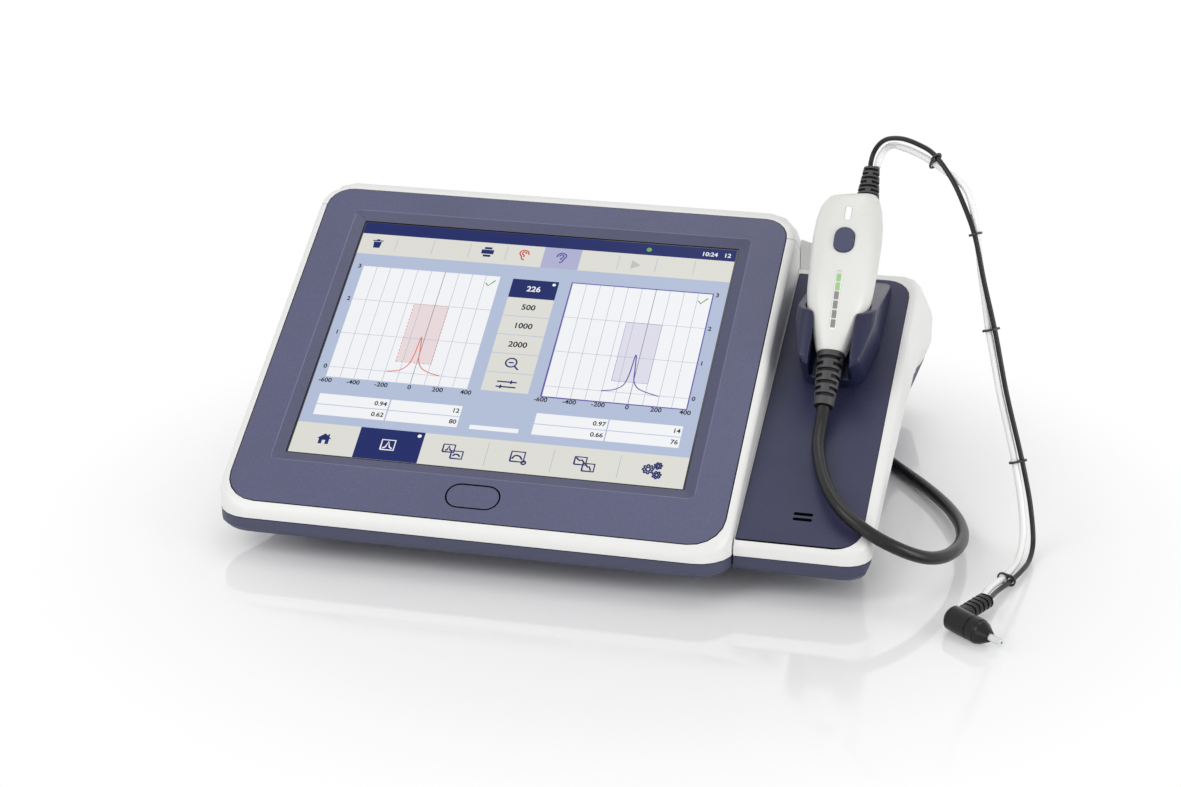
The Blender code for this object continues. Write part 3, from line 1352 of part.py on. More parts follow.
def upper_boot_outline(grow):
    width = UPPER_BOOT_WIDTH + 2 * grow
    depth = UPPER_BOOT_THICK + 2 * grow
    return rounded_box(width, depth, UPPER_BOOT_THICK * 3 / 8 + grow, (0, 0), 3)


def build_probe():
    """Two half shells, push button, two light pipes and the board between them."""
    outer = probe_body("probe_skin", 0)
    hide_guide(outer)
    hollow = probe_body("probe_hollow", -PROBE_WALL)
    front = probe_half("probe_front_shell", 1, hollow, WHITE_PLASTIC)
    back = probe_half("probe_back_shell", -1, hollow, WHITE_PLASTIC)

    press = (0, PRESS_AT)
    press_outline = rounded_box(PRESS_WIDTH, PRESS_LENGTH, PRESS_CORNER, press, 5)
    lip_width = PRESS_WIDTH + 2 * PRESS_LIP
    lip_outline = rounded_box(lip_width, PRESS_LENGTH + 2 * PRESS_LIP, PRESS_CORNER, press, 3)
    inner_level = PROBE_HALF_THICK - PROBE_WALL
    lip_top = inner_level - 2 * GAP - PRESS_LIP / 2
    button_top = PROBE_HALF_THICK + PRESS_PROUD
    lip_low = lip_top - PRESS_LIP_THICK
    button_low = lip_top - PRESS_LIP_THICK / 2
    button = probe_prism("probe_button", press_outline, button_low, button_top, BLUE_PLASTIC)
    combine(button, probe_prism("press_lip", lip_outline, lip_low, lip_top), "UNION")
    hole = rounded_box(PRESS_WIDTH + 2 * GAP, PRESS_LENGTH + 2 * GAP, PRESS_CORNER + GAP, press, 5)
    combine(front, probe_prism("press_hole", hole, PROBE_BOARD_TOP, PROBE_LENGTH))

    lights = (
        ("status_light", STATUS_WIDTH, STATUS_LENGTH, STATUS_AT, LIGHT_PIPE),
        ("level_light", LEVEL_WIDTH, LEVEL_LENGTH, LEVEL_AT, LEVEL_PIPE),
    )
    led_top = PIPE_LOW - GAP
    board_half = PROBE_BOARD_LENGTH / 2
    board_outline = rounded_box(PROBE_BOARD_WIDTH, PROBE_BOARD_LENGTH, PRESS_LIP, (0, PROBE_BOARD_AT), 2)
    board_low = PROBE_BOARD_TOP - BOARD_THICK
    board = probe_prism("probe_board", board_outline, board_low, PROBE_BOARD_TOP, BOARD_GREEN)
    sunk = PROBE_BOARD_TOP - BOARD_THICK / 2
    switch_top = lip_low - PRESS_TRAVEL - GAP
    switch = rounded_box(SWITCH_WIDTH, SWITCH_WIDTH, GAP, press, 1)
    combine(board, probe_prism("press_switch", switch, sunk, switch_top), "UNION")
    for name, width, length, at, material in lights:
        outline = rounded_box(width, length, width / 2 - GAP / 10, (0, at), 4)
        pipe = probe_prism(name, outline, PIPE_LOW, PROBE_LENGTH, material)
        combine(pipe, outer, "INTERSECT")
        window = rounded_box(width + 2 * GAP, length + 2 * GAP, width / 2 + GAP * 4 / 5, (0, at), 4)
        combine(front, probe_prism(name + "_window", window, PROBE_BOARD_TOP, PROBE_LENGTH))
        lamp_at = min(at, PROBE_BOARD_AT + board_half - LED_SIDE)
        lamp = rounded_box(LED_SIDE, LED_SIDE, GAP, (0, lamp_at), 1)
        combine(board, probe_prism(name + "_lamp", lamp, sunk, led_top), "UNION")
    post_low = PROBE_WALL / 2 - PROBE_HALF_THICK
    for number, end in enumerate((-1, 1), 1):
        centre = PROBE_PLACE @ Matrix.Translation((0, PROBE_BOARD_AT + end * board_half / 2, 0))
        post = [(PROBE_POST, post_low), (PROBE_POST, board_low - GAP)]
        combine(back, turned(f"probe_post_{number}", post, centre, 12), "UNION")


def ribbed_profile(start, end, first, last, ribs):
    """Radius and height points of a tapered strain relief with ribs, between two heights."""
    points = []
    step = (end - start) / ribs
    for number in range(ribs):
        share = number / ribs
        radius = first + (last - first) * share
        low = start + step * number
        points += [
            (radius, low),
            (radius, low + step * 3 / 5),
            (radius - RIB_DEPTH, low + step * 3 / 5),
            (radius - RIB_DEPTH, low + step),
        ]
    points.append((last, end))
    points.append((last, end + abs(step) * 2 / 5 * (1 if end > start else -1)))
    return points


def build_boots():
    """Ribbed boots at both ends of the probe."""
    lower = frame_at(PROBE_ORIGIN, RIGHT, PROBE_PLACE.col[2].to_3d())
    neck = BOOT_TOP_RADIUS - RIB_DEPTH - GAP * 2
    last_rib = BOOT_LENGTH * BOOT_RIBS / (BOOT_RIBS + 2 / 5)
    ribs = ribbed_profile(GAP, last_rib, BOOT_TOP_RADIUS, BOOT_END_RADIUS, BOOT_RIBS)
    profile = [(0, -BOOT_SINK), (neck, -BOOT_SINK), (neck, GAP)] + ribs + [(0, ribs[-1][1])]
    smooth_round(turned("lower_boot", profile, lower, 16, BLACK_RUBBER), math.radians(30))
    span = UPPER_BOOT_END - PROBE_LENGTH - GAP
    step = span / (UPPER_BOOT_RIBS + 2 / 5)
    levels = [(UPPER_BOOT_START - UPPER_BOOT_AT / 2, -RIB_DEPTH), (PROBE_LENGTH + GAP, -RIB_DEPTH)]
    for number in range(UPPER_BOOT_RIBS + 1):
        low = PROBE_LENGTH + GAP + step * number
        share = number / UPPER_BOOT_RIBS
        narrow = -(1 - UPPER_BOOT_END_SHARE) * UPPER_BOOT_WIDTH / 2 * share
        high = low + step * 2 / 5 if number == UPPER_BOOT_RIBS else low + step * 3 / 5
        levels += [(low, narrow), (high, narrow)]
        if number < UPPER_BOOT_RIBS:
            levels += [(high, narrow - RIB_DEPTH), (low + step, narrow - RIB_DEPTH)]
    rings = []
    for level, grow in levels:
        rings.append([(UPPER_BOOT_AT + a, level, b) for a, b in upper_boot_outline(grow)])
    loft("upper_boot", rings, PROBE_PLACE, BLACK_RUBBER)


# Cradle on the wing
CRADLE_HALF_WIDTH = 0.0208
CRADLE_FOOT_HALF = 0.0150
FOOT_SHARE = -0.1100
WAIST_SHARE = 0.2043
SHOULDER_SHARE = 0.2850
BACK_SHARE = 0.7097
LIP_TOP_SHARE = 0.2150
CRADLE_FOOT = PROBE_LENGTH * FOOT_SHARE
CRADLE_WAIST = PROBE_LENGTH * WAIST_SHARE
CRADLE_SHOULDER = PROBE_LENGTH * SHOULDER_SHARE
CRADLE_BACK = PROBE_LENGTH * BACK_SHARE
CRADLE_CORNER = 0.009
CRADLE_ROUND = 0.0085
CRADLE_LIP_LOW = 0.0060
CRADLE_LIP = 0.0090
CRADLE_LIP_RISE = 0.0050
CRADLE_LIP_TOP = PROBE_LENGTH * LIP_TOP_SHARE
CRADLE_STEP = 0.0020
CRADLE_DROP = -0.050
CRADLE_SLOT_HALF = 0.0105
CRADLE_SLOT_DEEP = 0.0088
CRADLE_FIT = 0.0006
CRADLE_SIDE_VIEW = frame_at(PROBE_ORIGIN, slope(PROBE_TILT), (0, -math.sin(PROBE_TILT), math.cos(PROBE_TILT)))


def build_cradle():
    """Cradle block on the inlay, shaped to the probe, with two front lips and a slot for the boot."""
    wide = CRADLE_HALF_WIDTH
    outline = rounded(
        [
            (-CRADLE_FOOT_HALF, CRADLE_FOOT, CRADLE_CORNER),
            (CRADLE_FOOT_HALF, CRADLE_FOOT, CRADLE_CORNER),
            (wide, CRADLE_WAIST, CRADLE_CORNER),
            (wide, CRADLE_BACK, CRADLE_CORNER / 2),
            (-wide, CRADLE_BACK, CRADLE_CORNER / 2),
            (-wide, CRADLE_WAIST, CRADLE_CORNER),
        ]
    )
    deep = -PROBE_LENGTH
    cradle = probe_prism("probe_cradle", outline, deep, CRADLE_LIP + OVERRUN, CRADLE_PLASTIC)
    side = [
        (CRADLE_FOOT - OVERRUN, deep - OVERRUN),
        (CRADLE_FOOT - OVERRUN, CRADLE_LIP_LOW - OVERRUN),
        (CRADLE_FOOT + CRADLE_LIP_RISE, CRADLE_LIP),
        (CRADLE_LIP_TOP, CRADLE_LIP),
        (CRADLE_SHOULDER, CRADLE_STEP),
        (CRADLE_BACK + OVERRUN, CRADLE_DROP - OVERRUN),
        (CRADLE_BACK + OVERRUN, deep - OVERRUN),
    ]
    limits = prism("cradle_side", side, CRADLE_SIDE_VIEW, -wide - OVERRUN, wide + OVERRUN)
    combine(cradle, limits, "INTERSECT")
    section = rounded(
        [
            (-wide, deep - OVERRUN, 0),
            (wide, deep - OVERRUN, 0),
            (wide, CRADLE_LIP, CRADLE_ROUND),
            (-wide, CRADLE_LIP, CRADLE_ROUND),
        ]
    )
    levels = (CRADLE_FOOT - OVERRUN, CRADLE_BACK + OVERRUN)
    rings = [[(a, level, b) for a, b in section] for level in levels]
    combine(cradle, loft("cradle_section", rings, PROBE_PLACE, None), "INTERSECT")
    big = PROBE_LENGTH
    under = box("cradle_under", (-big, 0, -big * 2), (big, big * 4, GAP), None, WING_PLACE)
    combine(cradle, under)
    combine(cradle, probe_body("cradle_hollow", CRADLE_FIT))
    half = CRADLE_SLOT_HALF
    slot = rounded(
        [
            (-half, CRADLE_FOOT - OVERRUN, 0),
            (half, CRADLE_FOOT - OVERRUN, 0),
            (half, CRADLE_LIP_TOP + OVERRUN, 0),
            (-half, CRADLE_LIP_TOP + OVERRUN, 0),
        ]
    )
    combine(cradle, probe_prism("cradle_slot", slot, -CRADLE_SLOT_DEEP, CRADLE_LIP + 3 * OVERRUN))


# Cords: routes in this model's frame, chosen to follow the photographed curves
CABLE_RADIUS = 0.0034
LEAD_RADIUS = 0.0013
TUBE_RADIUS = 0.0018
CABLE_FRONT_ROUTE = [
    (0.1319, -0.0485, 0.0725),
    (0.1319, -0.0540, 0.0672),
    (0.1325, -0.0678, 0.0598),
    (0.1356, -0.0799, 0.0552),
    (0.1402, -0.0929, 0.0510),
    (0.1469, -0.1048, 0.0466),
    (0.1544, -0.1127, 0.0426),
    (0.1620, -0.1169, 0.0392),
    (0.1698, -0.1183, 0.0352),
    (0.1782, -0.1173, 0.0308),
    (0.1868, -0.1136, 0.0260),
    (0.1945, -0.1066, 0.0214),
    (0.2008, -0.0956, 0.0176),
    (0.2056, -0.0783, 0.0140),
    (0.2068, -0.0565, 0.0106),
    (0.2037, -0.0356, 0.0082),
    (0.1970, -0.0153, 0.0064),
    (0.1882, 0.0025, 0.0052),
    (0.1777, 0.0194, 0.0044),
    (0.1670, 0.0342, 0.0039),
    (0.1550, 0.0505, 0.0038),
    (0.1420, 0.0724, 0.0038),
    (0.1280, 0.1060, 0.0039),
    (0.1185, 0.1440, 0.0041),
    (0.1140, 0.1840, 0.0044),
    (0.1129, 0.2160, 0.0046),
    (0.1129, 0.2390, 0.0046),
]
CABLE_REAR_ROUTE = [
    (0.0261, 0.2390, 0.0122),
    (0.0261, 0.2315, 0.0129),
    (0.0261, 0.2240, 0.0149),
    (0.0261, 0.2088, 0.0231),
    (0.0261, 0.1935, 0.0313),
    (0.0261, 0.1860, 0.0333),
    (0.0261, 0.1783, 0.0340),
]
LEAD_ROUTE = [
    (0.1384, 0.0504, 0.1714),
    (0.1384, 0.0536, 0.1746),
    (0.1400, 0.0546, 0.1798),
    (0.1452, 0.0500, 0.1868),
    (0.1551, 0.0398, 0.1914),
    (0.1661, 0.0290, 0.1918),
    (0.1745, 0.0214, 0.1897),
    (0.1855, 0.0114, 0.1798),
    (0.1931, 0.0044, 0.1683),
    (0.1995, -0.0016, 0.1556),
    (0.2066, -0.0081, 0.1317),
    (0.2136, -0.0146, 0.1100),
    (0.2221, -0.0226, 0.0790),
    (0.2331, -0.0326, 0.0455),
    (0.2391, -0.0390, 0.0240),
    (0.2420, -0.0460, 0.0075),
    (0.2415, -0.0570, 0.0030),
    (0.2388, -0.0720, 0.0032),
    (0.2341, -0.0870, 0.0036),
    (0.2290, -0.1010, 0.0045),
    (0.2262, -0.1162, 0.0070),
]
TUBE_ROUTE = [
    (0.1421, 0.0505, 0.1715),
    (0.1421, 0.0513, 0.1723),
    (0.1428, 0.0537, 0.1757),
    (0.1446, 0.0544, 0.1794),
    (0.1472, 0.0533, 0.1825),
    (0.1496, 0.0512, 0.1841),
    (0.1560, 0.0402, 0.1866),
    (0.1640, 0.0312, 0.1870),
    (0.1726, 0.0236, 0.1855),
    (0.1800, 0.0190, 0.1825),
    (0.1926, 0.0109, 0.1758),
    (0.1972, 0.0058, 0.1675),
    (0.1995, 0.0032, 0.1583),
    (0.2004, 0.0019, 0.1543),
    (0.2022, -0.0003, 0.1459),
    (0.2040, -0.0028, 0.1366),
    (0.2061, -0.0056, 0.1273),
    (0.2082, -0.0090, 0.1183),
    (0.2103, -0.0130, 0.1091),
    (0.2126, -0.0155, 0.1010),
    (0.2183, -0.0213, 0.0794),
    (0.2237, -0.0259, 0.0625),
    (0.2291, -0.0318, 0.0455),
    (0.2345, -0.0400, 0.0250),
    (0.2366, -0.0460, 0.0110),
    (0.2362, -0.0570, 0.0044),
    (0.2340, -0.0716, 0.0036),
    (0.2300, -0.0856, 0.0040),
    (0.2254, -0.1000, 0.0055),
    (0.2228, -0.1144, 0.0070),
]
CLIP_HEIGHTS = (0.1885, 0.1556, 0.1100, 0.0462)
CLIP_FRONT_Y = -0.0860
CLIP_LENGTH = 0.0018
CLIP_WALL = 0.0007
CLIP_PLAY = 0.0005
CORD_GAP = 0.0005
LEAD_POINT_GAP = 6 * LEAD_RADIUS
TUBE_POINT_GAP = 5 * TUBE_RADIUS
CHORD_STEPS = 12
LEAD_ACROSS = 0.0065
TUBE_ACROSS = 0.0102


def smooth_route(points, spacing):
    """Points at an even spacing along the smooth curve through a route's points."""
    route = [Vector(point) for point in points]
    route = [route[0] * 2 - route[1]] + route + [route[-1] * 2 - route[-2]]
    dense = []
    substeps = 24
    for k in range(1, len(route) - 2):
        before, start, end, after = route[k - 1 : k + 3]
        t0 = 0.0
        t1 = t0 + math.sqrt((start - before).length)
        t2 = t1 + math.sqrt((end - start).length)
        t3 = t2 + math.sqrt((after - end).length)
        for i in range(substeps):
            t = t1 + (t2 - t1) * i / substeps
            a1 = (before * (t1 - t) + start * (t - t0)) / (t1 - t0)
            a2 = (start * (t2 - t) + end * (t - t1)) / (t2 - t1)
            a3 = (end * (t3 - t) + after * (t - t2)) / (t3 - t2)
            b1 = (a1 * (t2 - t) + a2 * (t - t0)) / (t2 - t0)
            b2 = (a2 * (t3 - t) + a3 * (t - t1)) / (t3 - t1)
            dense.append((b1 * (t2 - t) + b2 * (t - t1)) / (t2 - t1))
    dense.append(route[-2])
    length = sum((b - a).length for a, b in zip(dense, dense[1:]))
    count = max(2, round(length / spacing))
    even = [dense[0]]
    walked = 0.0
    for a, b in zip(dense, dense[1:]):
        step = (b - a).length
        while step and len(even) < count and walked + step >= length * len(even) / count:
            even.append(a + (b - a) * (length * len(even) / count - walked) / step)
        walked += step
    even.append(dense[-1])
    return even


def fitted(route, start, end):
    """A route moved so that it begins and ends at the given points; what lies between follows evenly."""
    first = Vector(start) - Vector(route[0])
    last = Vector(end) - Vector(route[-1])
    count = len(route) - 1
    return [Vector(point) + first.lerp(last, k / count) for k, point in enumerate(route)]


def square_ends(route, points, radius):
    """Same points with one more just inside each end, so that the end faces stay square to the route."""
    start = Vector(route[0])
    end = Vector(route[-1])
    first = (Vector(route[1]) - start).normalized() * radius
    last = (Vector(route[-2]) - end).normalized() * radius
    return [start, start + first] + points[1:-1] + [end + last, end]


def tube(name, points, radius, material, resolution):
    """Round cord through points, with closed ends."""
    curve = bpy.data.curves.new(name, "CURVE")
    curve.dimensions = "3D"
    curve.bevel_depth = radius
    curve.bevel_resolution = resolution
    curve.use_fill_caps = True
    spline = curve.splines.new("POLY")
    spline.points.add(len(points) - 1)
    for point, place in zip(spline.points, points):
        point.co = (*place, 1.0)
    curve.materials.append(material)
    obj = bpy.data.objects.new(name, curve)
    bpy.context.scene.collection.objects.link(obj)
    return obj


# Stored length of the probe cable: a coil of two layers behind the housing, held by a tie
COIL_MIDDLE_RADIUS = 0.037
COIL_LAYER_TURNS = 1.5
COIL_PITCH = 0.0085
COIL_LAYER_RISE = 0.0076
COIL_LOOP_POINTS = 24
COIL_LIFT = 0.0012
COIL_FROM_REAR = 0.1060
TIE_THICK = 0.0008
TIE_WIDTH = 0.0080
TIE_PLAY = 0.0003
COIL_SPREAD = COIL_PITCH * COIL_LAYER_TURNS / 2
COIL_OUTER = COIL_MIDDLE_RADIUS + COIL_SPREAD
COIL_LOW_Z = CABLE_RADIUS + COIL_LIFT
COIL_X = MAIN_X + SOCKET_AT + COIL_OUTER
COIL_Y = REAR_Y + COIL_FROM_REAR
COIL_STRAIGHT = 2 * CABLE_RADIUS


def coil_points():
    """Spiral in, climb a layer in half a turn, spiral out again, with straight ends."""
    climb_start = COIL_LAYER_TURNS
    climb_end = climb_start + 1 / 2
    turns = climb_end + COIL_LAYER_TURNS
    count = round(turns * COIL_LOOP_POINTS)
    points = []
    for k in range(count + 1):
        turn = turns * k / count
        if turn <= climb_start:
            radius = COIL_OUTER - COIL_PITCH * turn
            rise = 0
        elif turn < climb_end:
            share = (turn - climb_start) / (climb_end - climb_start)
            radius = COIL_OUTER - COIL_PITCH * climb_start
            rise = share * share * (3 - 2 * share)
        else:
            radius = COIL_OUTER - COIL_PITCH * (turns - turn)
            rise = 1
        angle = math.tau * turn
        height = COIL_LOW_Z + COIL_LAYER_RISE * rise
        points.append(Vector((COIL_X + radius * math.cos(angle), COIL_Y + radius * math.sin(angle), height)))
    lead = Vector((0, -COIL_STRAIGHT, 0))
    return [points[0] + lead] + points + [points[-1] + lead]


def least_gap(points, radius):
    """Smallest space between two parts of one cord that are more than a few radii apart along it."""
    fine = []
    for a, b in zip(points, points[1:]):
        fine += [a.lerp(b, share / 4) for share in range(4)]
    along = [0.0]
    for a, b in zip(fine, fine[1:]):
        along.append(along[-1] + (b - a).length)
    least = FAR
    for i, a in enumerate(fine):
        for j in range(i + 1, len(fine)):
            if along[j] - along[i] > 6 * radius:
                least = min(least, (a - fine[j]).length)
    return least - 2 * radius


def cable_routes():
    """Routes of the cable before and behind its coil, from boot to coil and from coil to plug."""
    boot_end = PROBE_PLACE @ Vector((0, -BOOT_LENGTH - GAP, 0))
    coil_y = COIL_Y - COIL_STRAIGHT - CORD_GAP
    coil_start = (COIL_X + COIL_OUTER, coil_y, COIL_LOW_Z)
    coil_end = (COIL_X - COIL_OUTER, coil_y, COIL_LOW_Z + COIL_LAYER_RISE)
    plug_end = (COIL_X - COIL_OUTER, REAR_Y + PLUG_REACH + CORD_GAP, PLATE_Z)
    return fitted(CABLE_FRONT_ROUTE, boot_end, coil_start), fitted(CABLE_REAR_ROUTE, coil_end, plug_end)


def tip_routes():
    """Routes of the lead and the air tube, from the upper boot to the tip's boot."""
    start = UPPER_BOOT_END + CORD_GAP
    tip = Vector((TIP_X, TIP_Y, 0))
    lead_start = PROBE_PLACE @ Vector((LEAD_ACROSS, start, 0))
    tube_start = PROBE_PLACE @ Vector((TUBE_ACROSS, start, 0))
    lead_route = fitted(LEAD_ROUTE, lead_start, tip + LEAD_FROM_TIP)
    return lead_route, fitted(TUBE_ROUTE, tube_start, tip + TUBE_FROM_TIP)


def build_cords():
    """Probe cable with its coil and tie, thin lead and air tube with their clips."""
    cable_front, cable_rear = cable_routes()
    lead, air = tip_routes()
    free_cords = (
        ("probe_cable_front", cable_front, CABLE_RADIUS, 5 * CABLE_RADIUS, BLACK_RUBBER),
        ("probe_cable_rear", cable_rear, CABLE_RADIUS, 4 * CABLE_RADIUS, BLACK_RUBBER),
        ("tip_lead", lead, LEAD_RADIUS, LEAD_POINT_GAP, BLACK_RUBBER),
        ("air_tube", air, TUBE_RADIUS, TUBE_POINT_GAP, CLEAR_TUBE),
    )
    for name, route, radius, spacing, material in free_cords:
        points = smooth_route(route, spacing)
        tube(name, square_ends(route, points, radius), radius, material, 2)
    coil = coil_points()
    tube("probe_cable_coil", coil, CABLE_RADIUS, BLACK_RUBBER, 1)
    print("least gap of probe_cable_coil to itself:", round(least_gap(coil, CABLE_RADIUS), 5))

    inner = COIL_OUTER - COIL_PITCH * COIL_LAYER_TURNS - CABLE_RADIUS - TIE_PLAY
    outer = COIL_OUTER + CABLE_RADIUS + TIE_PLAY
    low = COIL_LOW_Z - CABLE_RADIUS - TIE_PLAY
    high = COIL_LOW_Z + COIL_LAYER_RISE + CABLE_RADIUS + TIE_PLAY
    middle = ((inner + outer) / 2, (low + high) / 2)
    place = frame_at((COIL_X, COIL_Y, 0), BACK, UP)
    corner = CABLE_RADIUS
    wide = outer - inner + 2 * TIE_THICK
    tall = high - low + 2 * TIE_THICK
    band = rounded_box(wide, tall, corner + TIE_THICK, middle, 4)
    tie = prism("coil_tie", band, place, -TIE_WIDTH / 2, TIE_WIDTH / 2, BLACK_PLASTIC)
    hole = rounded_box(outer - inner, high - low, corner, middle, 4)
    combine(tie, prism("tie_hole", hole, place, -TIE_WIDTH, TIE_WIDTH))


def crossing(points, axis, level):
    """Place and direction where a route first passes a level of one axis."""
    for a, b in zip(points, points[1:]):
        if min(a[axis], b[axis]) <= level <= max(a[axis], b[axis]) and a[axis] != b[axis]:
            return a.lerp(b, (level - a[axis]) / (b[axis] - a[axis])), (b - a).normalized()
    return points[-1], (points[-1] - points[-2]).normalized()


def past_top(points):
    """The part of a route from its highest point on."""
    highest = max(points, key=lambda point: point.z)
    return points[points.index(highest) :]


def build_clips():
    """Small clips that hold the air tube beside the lead."""
    lead_way, air_way = tip_routes()
    lead = past_top(smooth_route(lead_way, LEAD_POINT_GAP))
    air = past_top(smooth_route(air_way, TUBE_POINT_GAP))
    air = [a.lerp(b, k / CHORD_STEPS) for a, b in zip(air, air[1:]) for k in range(CHORD_STEPS)]
    levels = [(2, height) for height in CLIP_HEIGHTS] + [(1, CLIP_FRONT_Y)]
    for number, (axis, level) in enumerate(levels, 1):
        centre, along = crossing(lead, axis, level)
        near = min(air, key=lambda point: abs((point - centre).dot(along)) + (point - centre).length / 100)
        across = near - centre
        across = across - along * across.dot(along)
        spread = across.length
        place = frame_at(centre, across, along.cross(across))
        grip = LEAD_RADIUS + CLIP_PLAY
        hold = TUBE_RADIUS + CLIP_PLAY
        low = -grip - CLIP_WALL
        high = spread + hold + CLIP_WALL
        tall = hold + CLIP_WALL
        shape = rounded_box(high - low, 2 * tall, tall * 3 / 4, ((low + high) / 2, 0), 2)
        clip = prism(f"lead_clip_{number}", shape, place, -CLIP_LENGTH / 2, CLIP_LENGTH / 2, BLACK_PLASTIC)
        bore = [(grip, -CLIP_LENGTH), (grip, CLIP_LENGTH)]
        combine(clip, turned(f"clip_bore_{number}", bore, place, 10))
        seat = place @ Matrix.Translation((spread, 0, 0))
        wide = [(hold, -CLIP_LENGTH), (hold, CLIP_LENGTH)]
        combine(clip, turned(f"clip_seat_{number}", wide, seat, 10))


# Plug of the probe cable
PLUG_RADIUS = 0.0075
PLUG_LENGTH = 0.0218
PLUG_NOSE = 0.0060
PLUG_BOOT_LENGTH = 0.0135
PLUG_BOOT_RADIUS = 0.0058
PLUG_BOOT_END = 0.0045
PLUG_RIBS = 4
PLUG_EDGE = 0.0010
GRIP_DEPTH = 0.0005
PLUG_REACH = SOCKET_PROUD + PLUG_LENGTH + PLUG_BOOT_LENGTH + 2 * GAP


def build_plug():
    """Round plug in the probe socket and its ribbed boot."""
    place = PLATE_PLACE @ Matrix.Translation((-SOCKET_AT, 0, SOCKET_PROUD + GAP))
    profile = [
        (0, -PLUG_NOSE),
        (SOCKET_BORE - GAP, -PLUG_NOSE),
        (SOCKET_BORE - GAP, 0),
        (PLUG_RADIUS, 0),
        (PLUG_RADIUS, PLUG_LENGTH / 5),
        (PLUG_RADIUS - GRIP_DEPTH, PLUG_LENGTH / 4),
        (PLUG_RADIUS - GRIP_DEPTH, PLUG_LENGTH * 3 / 4),
        (PLUG_RADIUS, PLUG_LENGTH * 4 / 5),
        (PLUG_RADIUS - PLUG_EDGE, PLUG_LENGTH),
        (0, PLUG_LENGTH),
    ]
    smooth_round(turned("probe_plug", profile, place, 24, BLACK_PLASTIC))
    start = PLUG_LENGTH + GAP
    last_rib = start + PLUG_BOOT_LENGTH * PLUG_RIBS / (PLUG_RIBS + 2 / 5)
    ribs = ribbed_profile(start, last_rib, PLUG_BOOT_RADIUS, PLUG_BOOT_END, PLUG_RIBS)
    outline = [(0, start)] + ribs + [(0, ribs[-1][1])]
    smooth_round(turned("plug_boot", outline, place, 14, BLACK_RUBBER), math.radians(30))


# Probe tip lying on the table: elbow, cap and nozzle
TIP_X = 0.2124
TIP_BEHIND_FRONT = 0.0002
TIP_Y = FRONT_Y + TIP_BEHIND_FRONT
LEAD_FROM_TIP = Vector((0.0138, 0.0240, 0.0070))
TUBE_FROM_TIP = Vector((0.0104, 0.0258, 0.0070))
TIP_RADIUS = 0.0063
TIP_LIFT = 0.0002
TIP_HEADING = math.radians(-40)
TIP_BOOT_HEADING = math.radians(62.5)
TIP_REAR = 0.0038
TIP_BODY = 0.0115
TIP_EDGE = 0.0020
SPIGOT_RADIUS = 0.0040
SPIGOT_LENGTH = 0.0045
CAP_LENGTH = 0.0120
COLLAR_LENGTH = 0.0048
CONE_RADIUS = 0.0057
CONE_END = 0.0026
NOZZLE_RADIUS = 0.0015
NOZZLE_BORE = 0.0006
NOZZLE_PROUD = 0.0075
TIP_BOOT_START = 0.0085
TIP_BOOT_END = 0.0268
TIP_BOOT_WIDTH = 0.0088
TIP_BOOT_THICK = 0.0066
TIP_BOOT_RIBS = 5
TIP_Z = TIP_RADIUS + TIP_LIFT
TIP_PLACE = facing((TIP_X, TIP_Y, TIP_Z), (math.cos(TIP_HEADING), math.sin(TIP_HEADING), 0))


def build_tip():
    """Elbow with its ribbed boot, a cap that turns on the elbow's spigot, and the clear nozzle."""
    joint = TIP_BODY
    profile = [
        (0, -TIP_REAR),
        (TIP_RADIUS - TIP_EDGE, -TIP_REAR),
        (TIP_RADIUS, TIP_EDGE - TIP_REAR),
        (TIP_RADIUS, joint),
        (SPIGOT_RADIUS, joint),
        (SPIGOT_RADIUS, joint + SPIGOT_LENGTH),
        (0, joint + SPIGOT_LENGTH),
    ]
    elbow = turned("tip_elbow", profile, TIP_PLACE, 20, BLACK_PLASTIC)
    boot_way = (math.cos(TIP_BOOT_HEADING), math.sin(TIP_BOOT_HEADING), 0)
    boot_place = facing((TIP_X, TIP_Y, TIP_Z), boot_way)
    span = TIP_BOOT_END - TIP_BOOT_START
    step = span / TIP_BOOT_RIBS
    levels = [(0, 0), (TIP_BOOT_START, 0)]
    for number in range(TIP_BOOT_RIBS):
        high = TIP_BOOT_START + step * (number + 1)
        low = high - step * 2 / 5
        levels += [(low, 0), (low, -RIB_DEPTH), (high - step / 10, -RIB_DEPTH), (high - step / 10, 0)]
    levels.append((TIP_BOOT_END, 0))
    rings = []
    for level, grow in levels:
        round_edge = TIP_BOOT_THICK * 2 / 5 + grow
        outline = rounded_box(TIP_BOOT_WIDTH + 2 * grow, TIP_BOOT_THICK + 2 * grow, round_edge, (0, 0), 2)
        rings.append([(a, b, level) for a, b in outline])
    combine(elbow, loft("tip_boot", rings, boot_place, None), "UNION")

    start = joint + GAP
    end = start + CAP_LENGTH
    nozzle_hole = NOZZLE_RADIUS + GAP
    hole_end = joint + SPIGOT_LENGTH + GAP
    cap = [
        (SPIGOT_RADIUS + GAP, start),
        (TIP_RADIUS, start),
        (TIP_RADIUS, start + COLLAR_LENGTH),
        (CONE_RADIUS, start + COLLAR_LENGTH + TIP_EDGE / 4),
        (CONE_RADIUS, start + COLLAR_LENGTH + TIP_EDGE),
        (CONE_END, end),
        (nozzle_hole, end),
        (nozzle_hole, hole_end),
        (SPIGOT_RADIUS + GAP, hole_end),
    ]
    smooth_round(turned("tip_cap", cap, TIP_PLACE, 24, BLACK_PLASTIC, hollow=True))
    nozzle_start = hole_end + GAP
    nozzle = [
        (NOZZLE_BORE, nozzle_start),
        (NOZZLE_RADIUS, nozzle_start),
        (NOZZLE_RADIUS, end + NOZZLE_PROUD),
        (NOZZLE_BORE, end + NOZZLE_PROUD),
    ]
    smooth_round(turned("tip_nozzle", nozzle, TIP_PLACE, 14, CLEAR_PLASTIC, hollow=True))


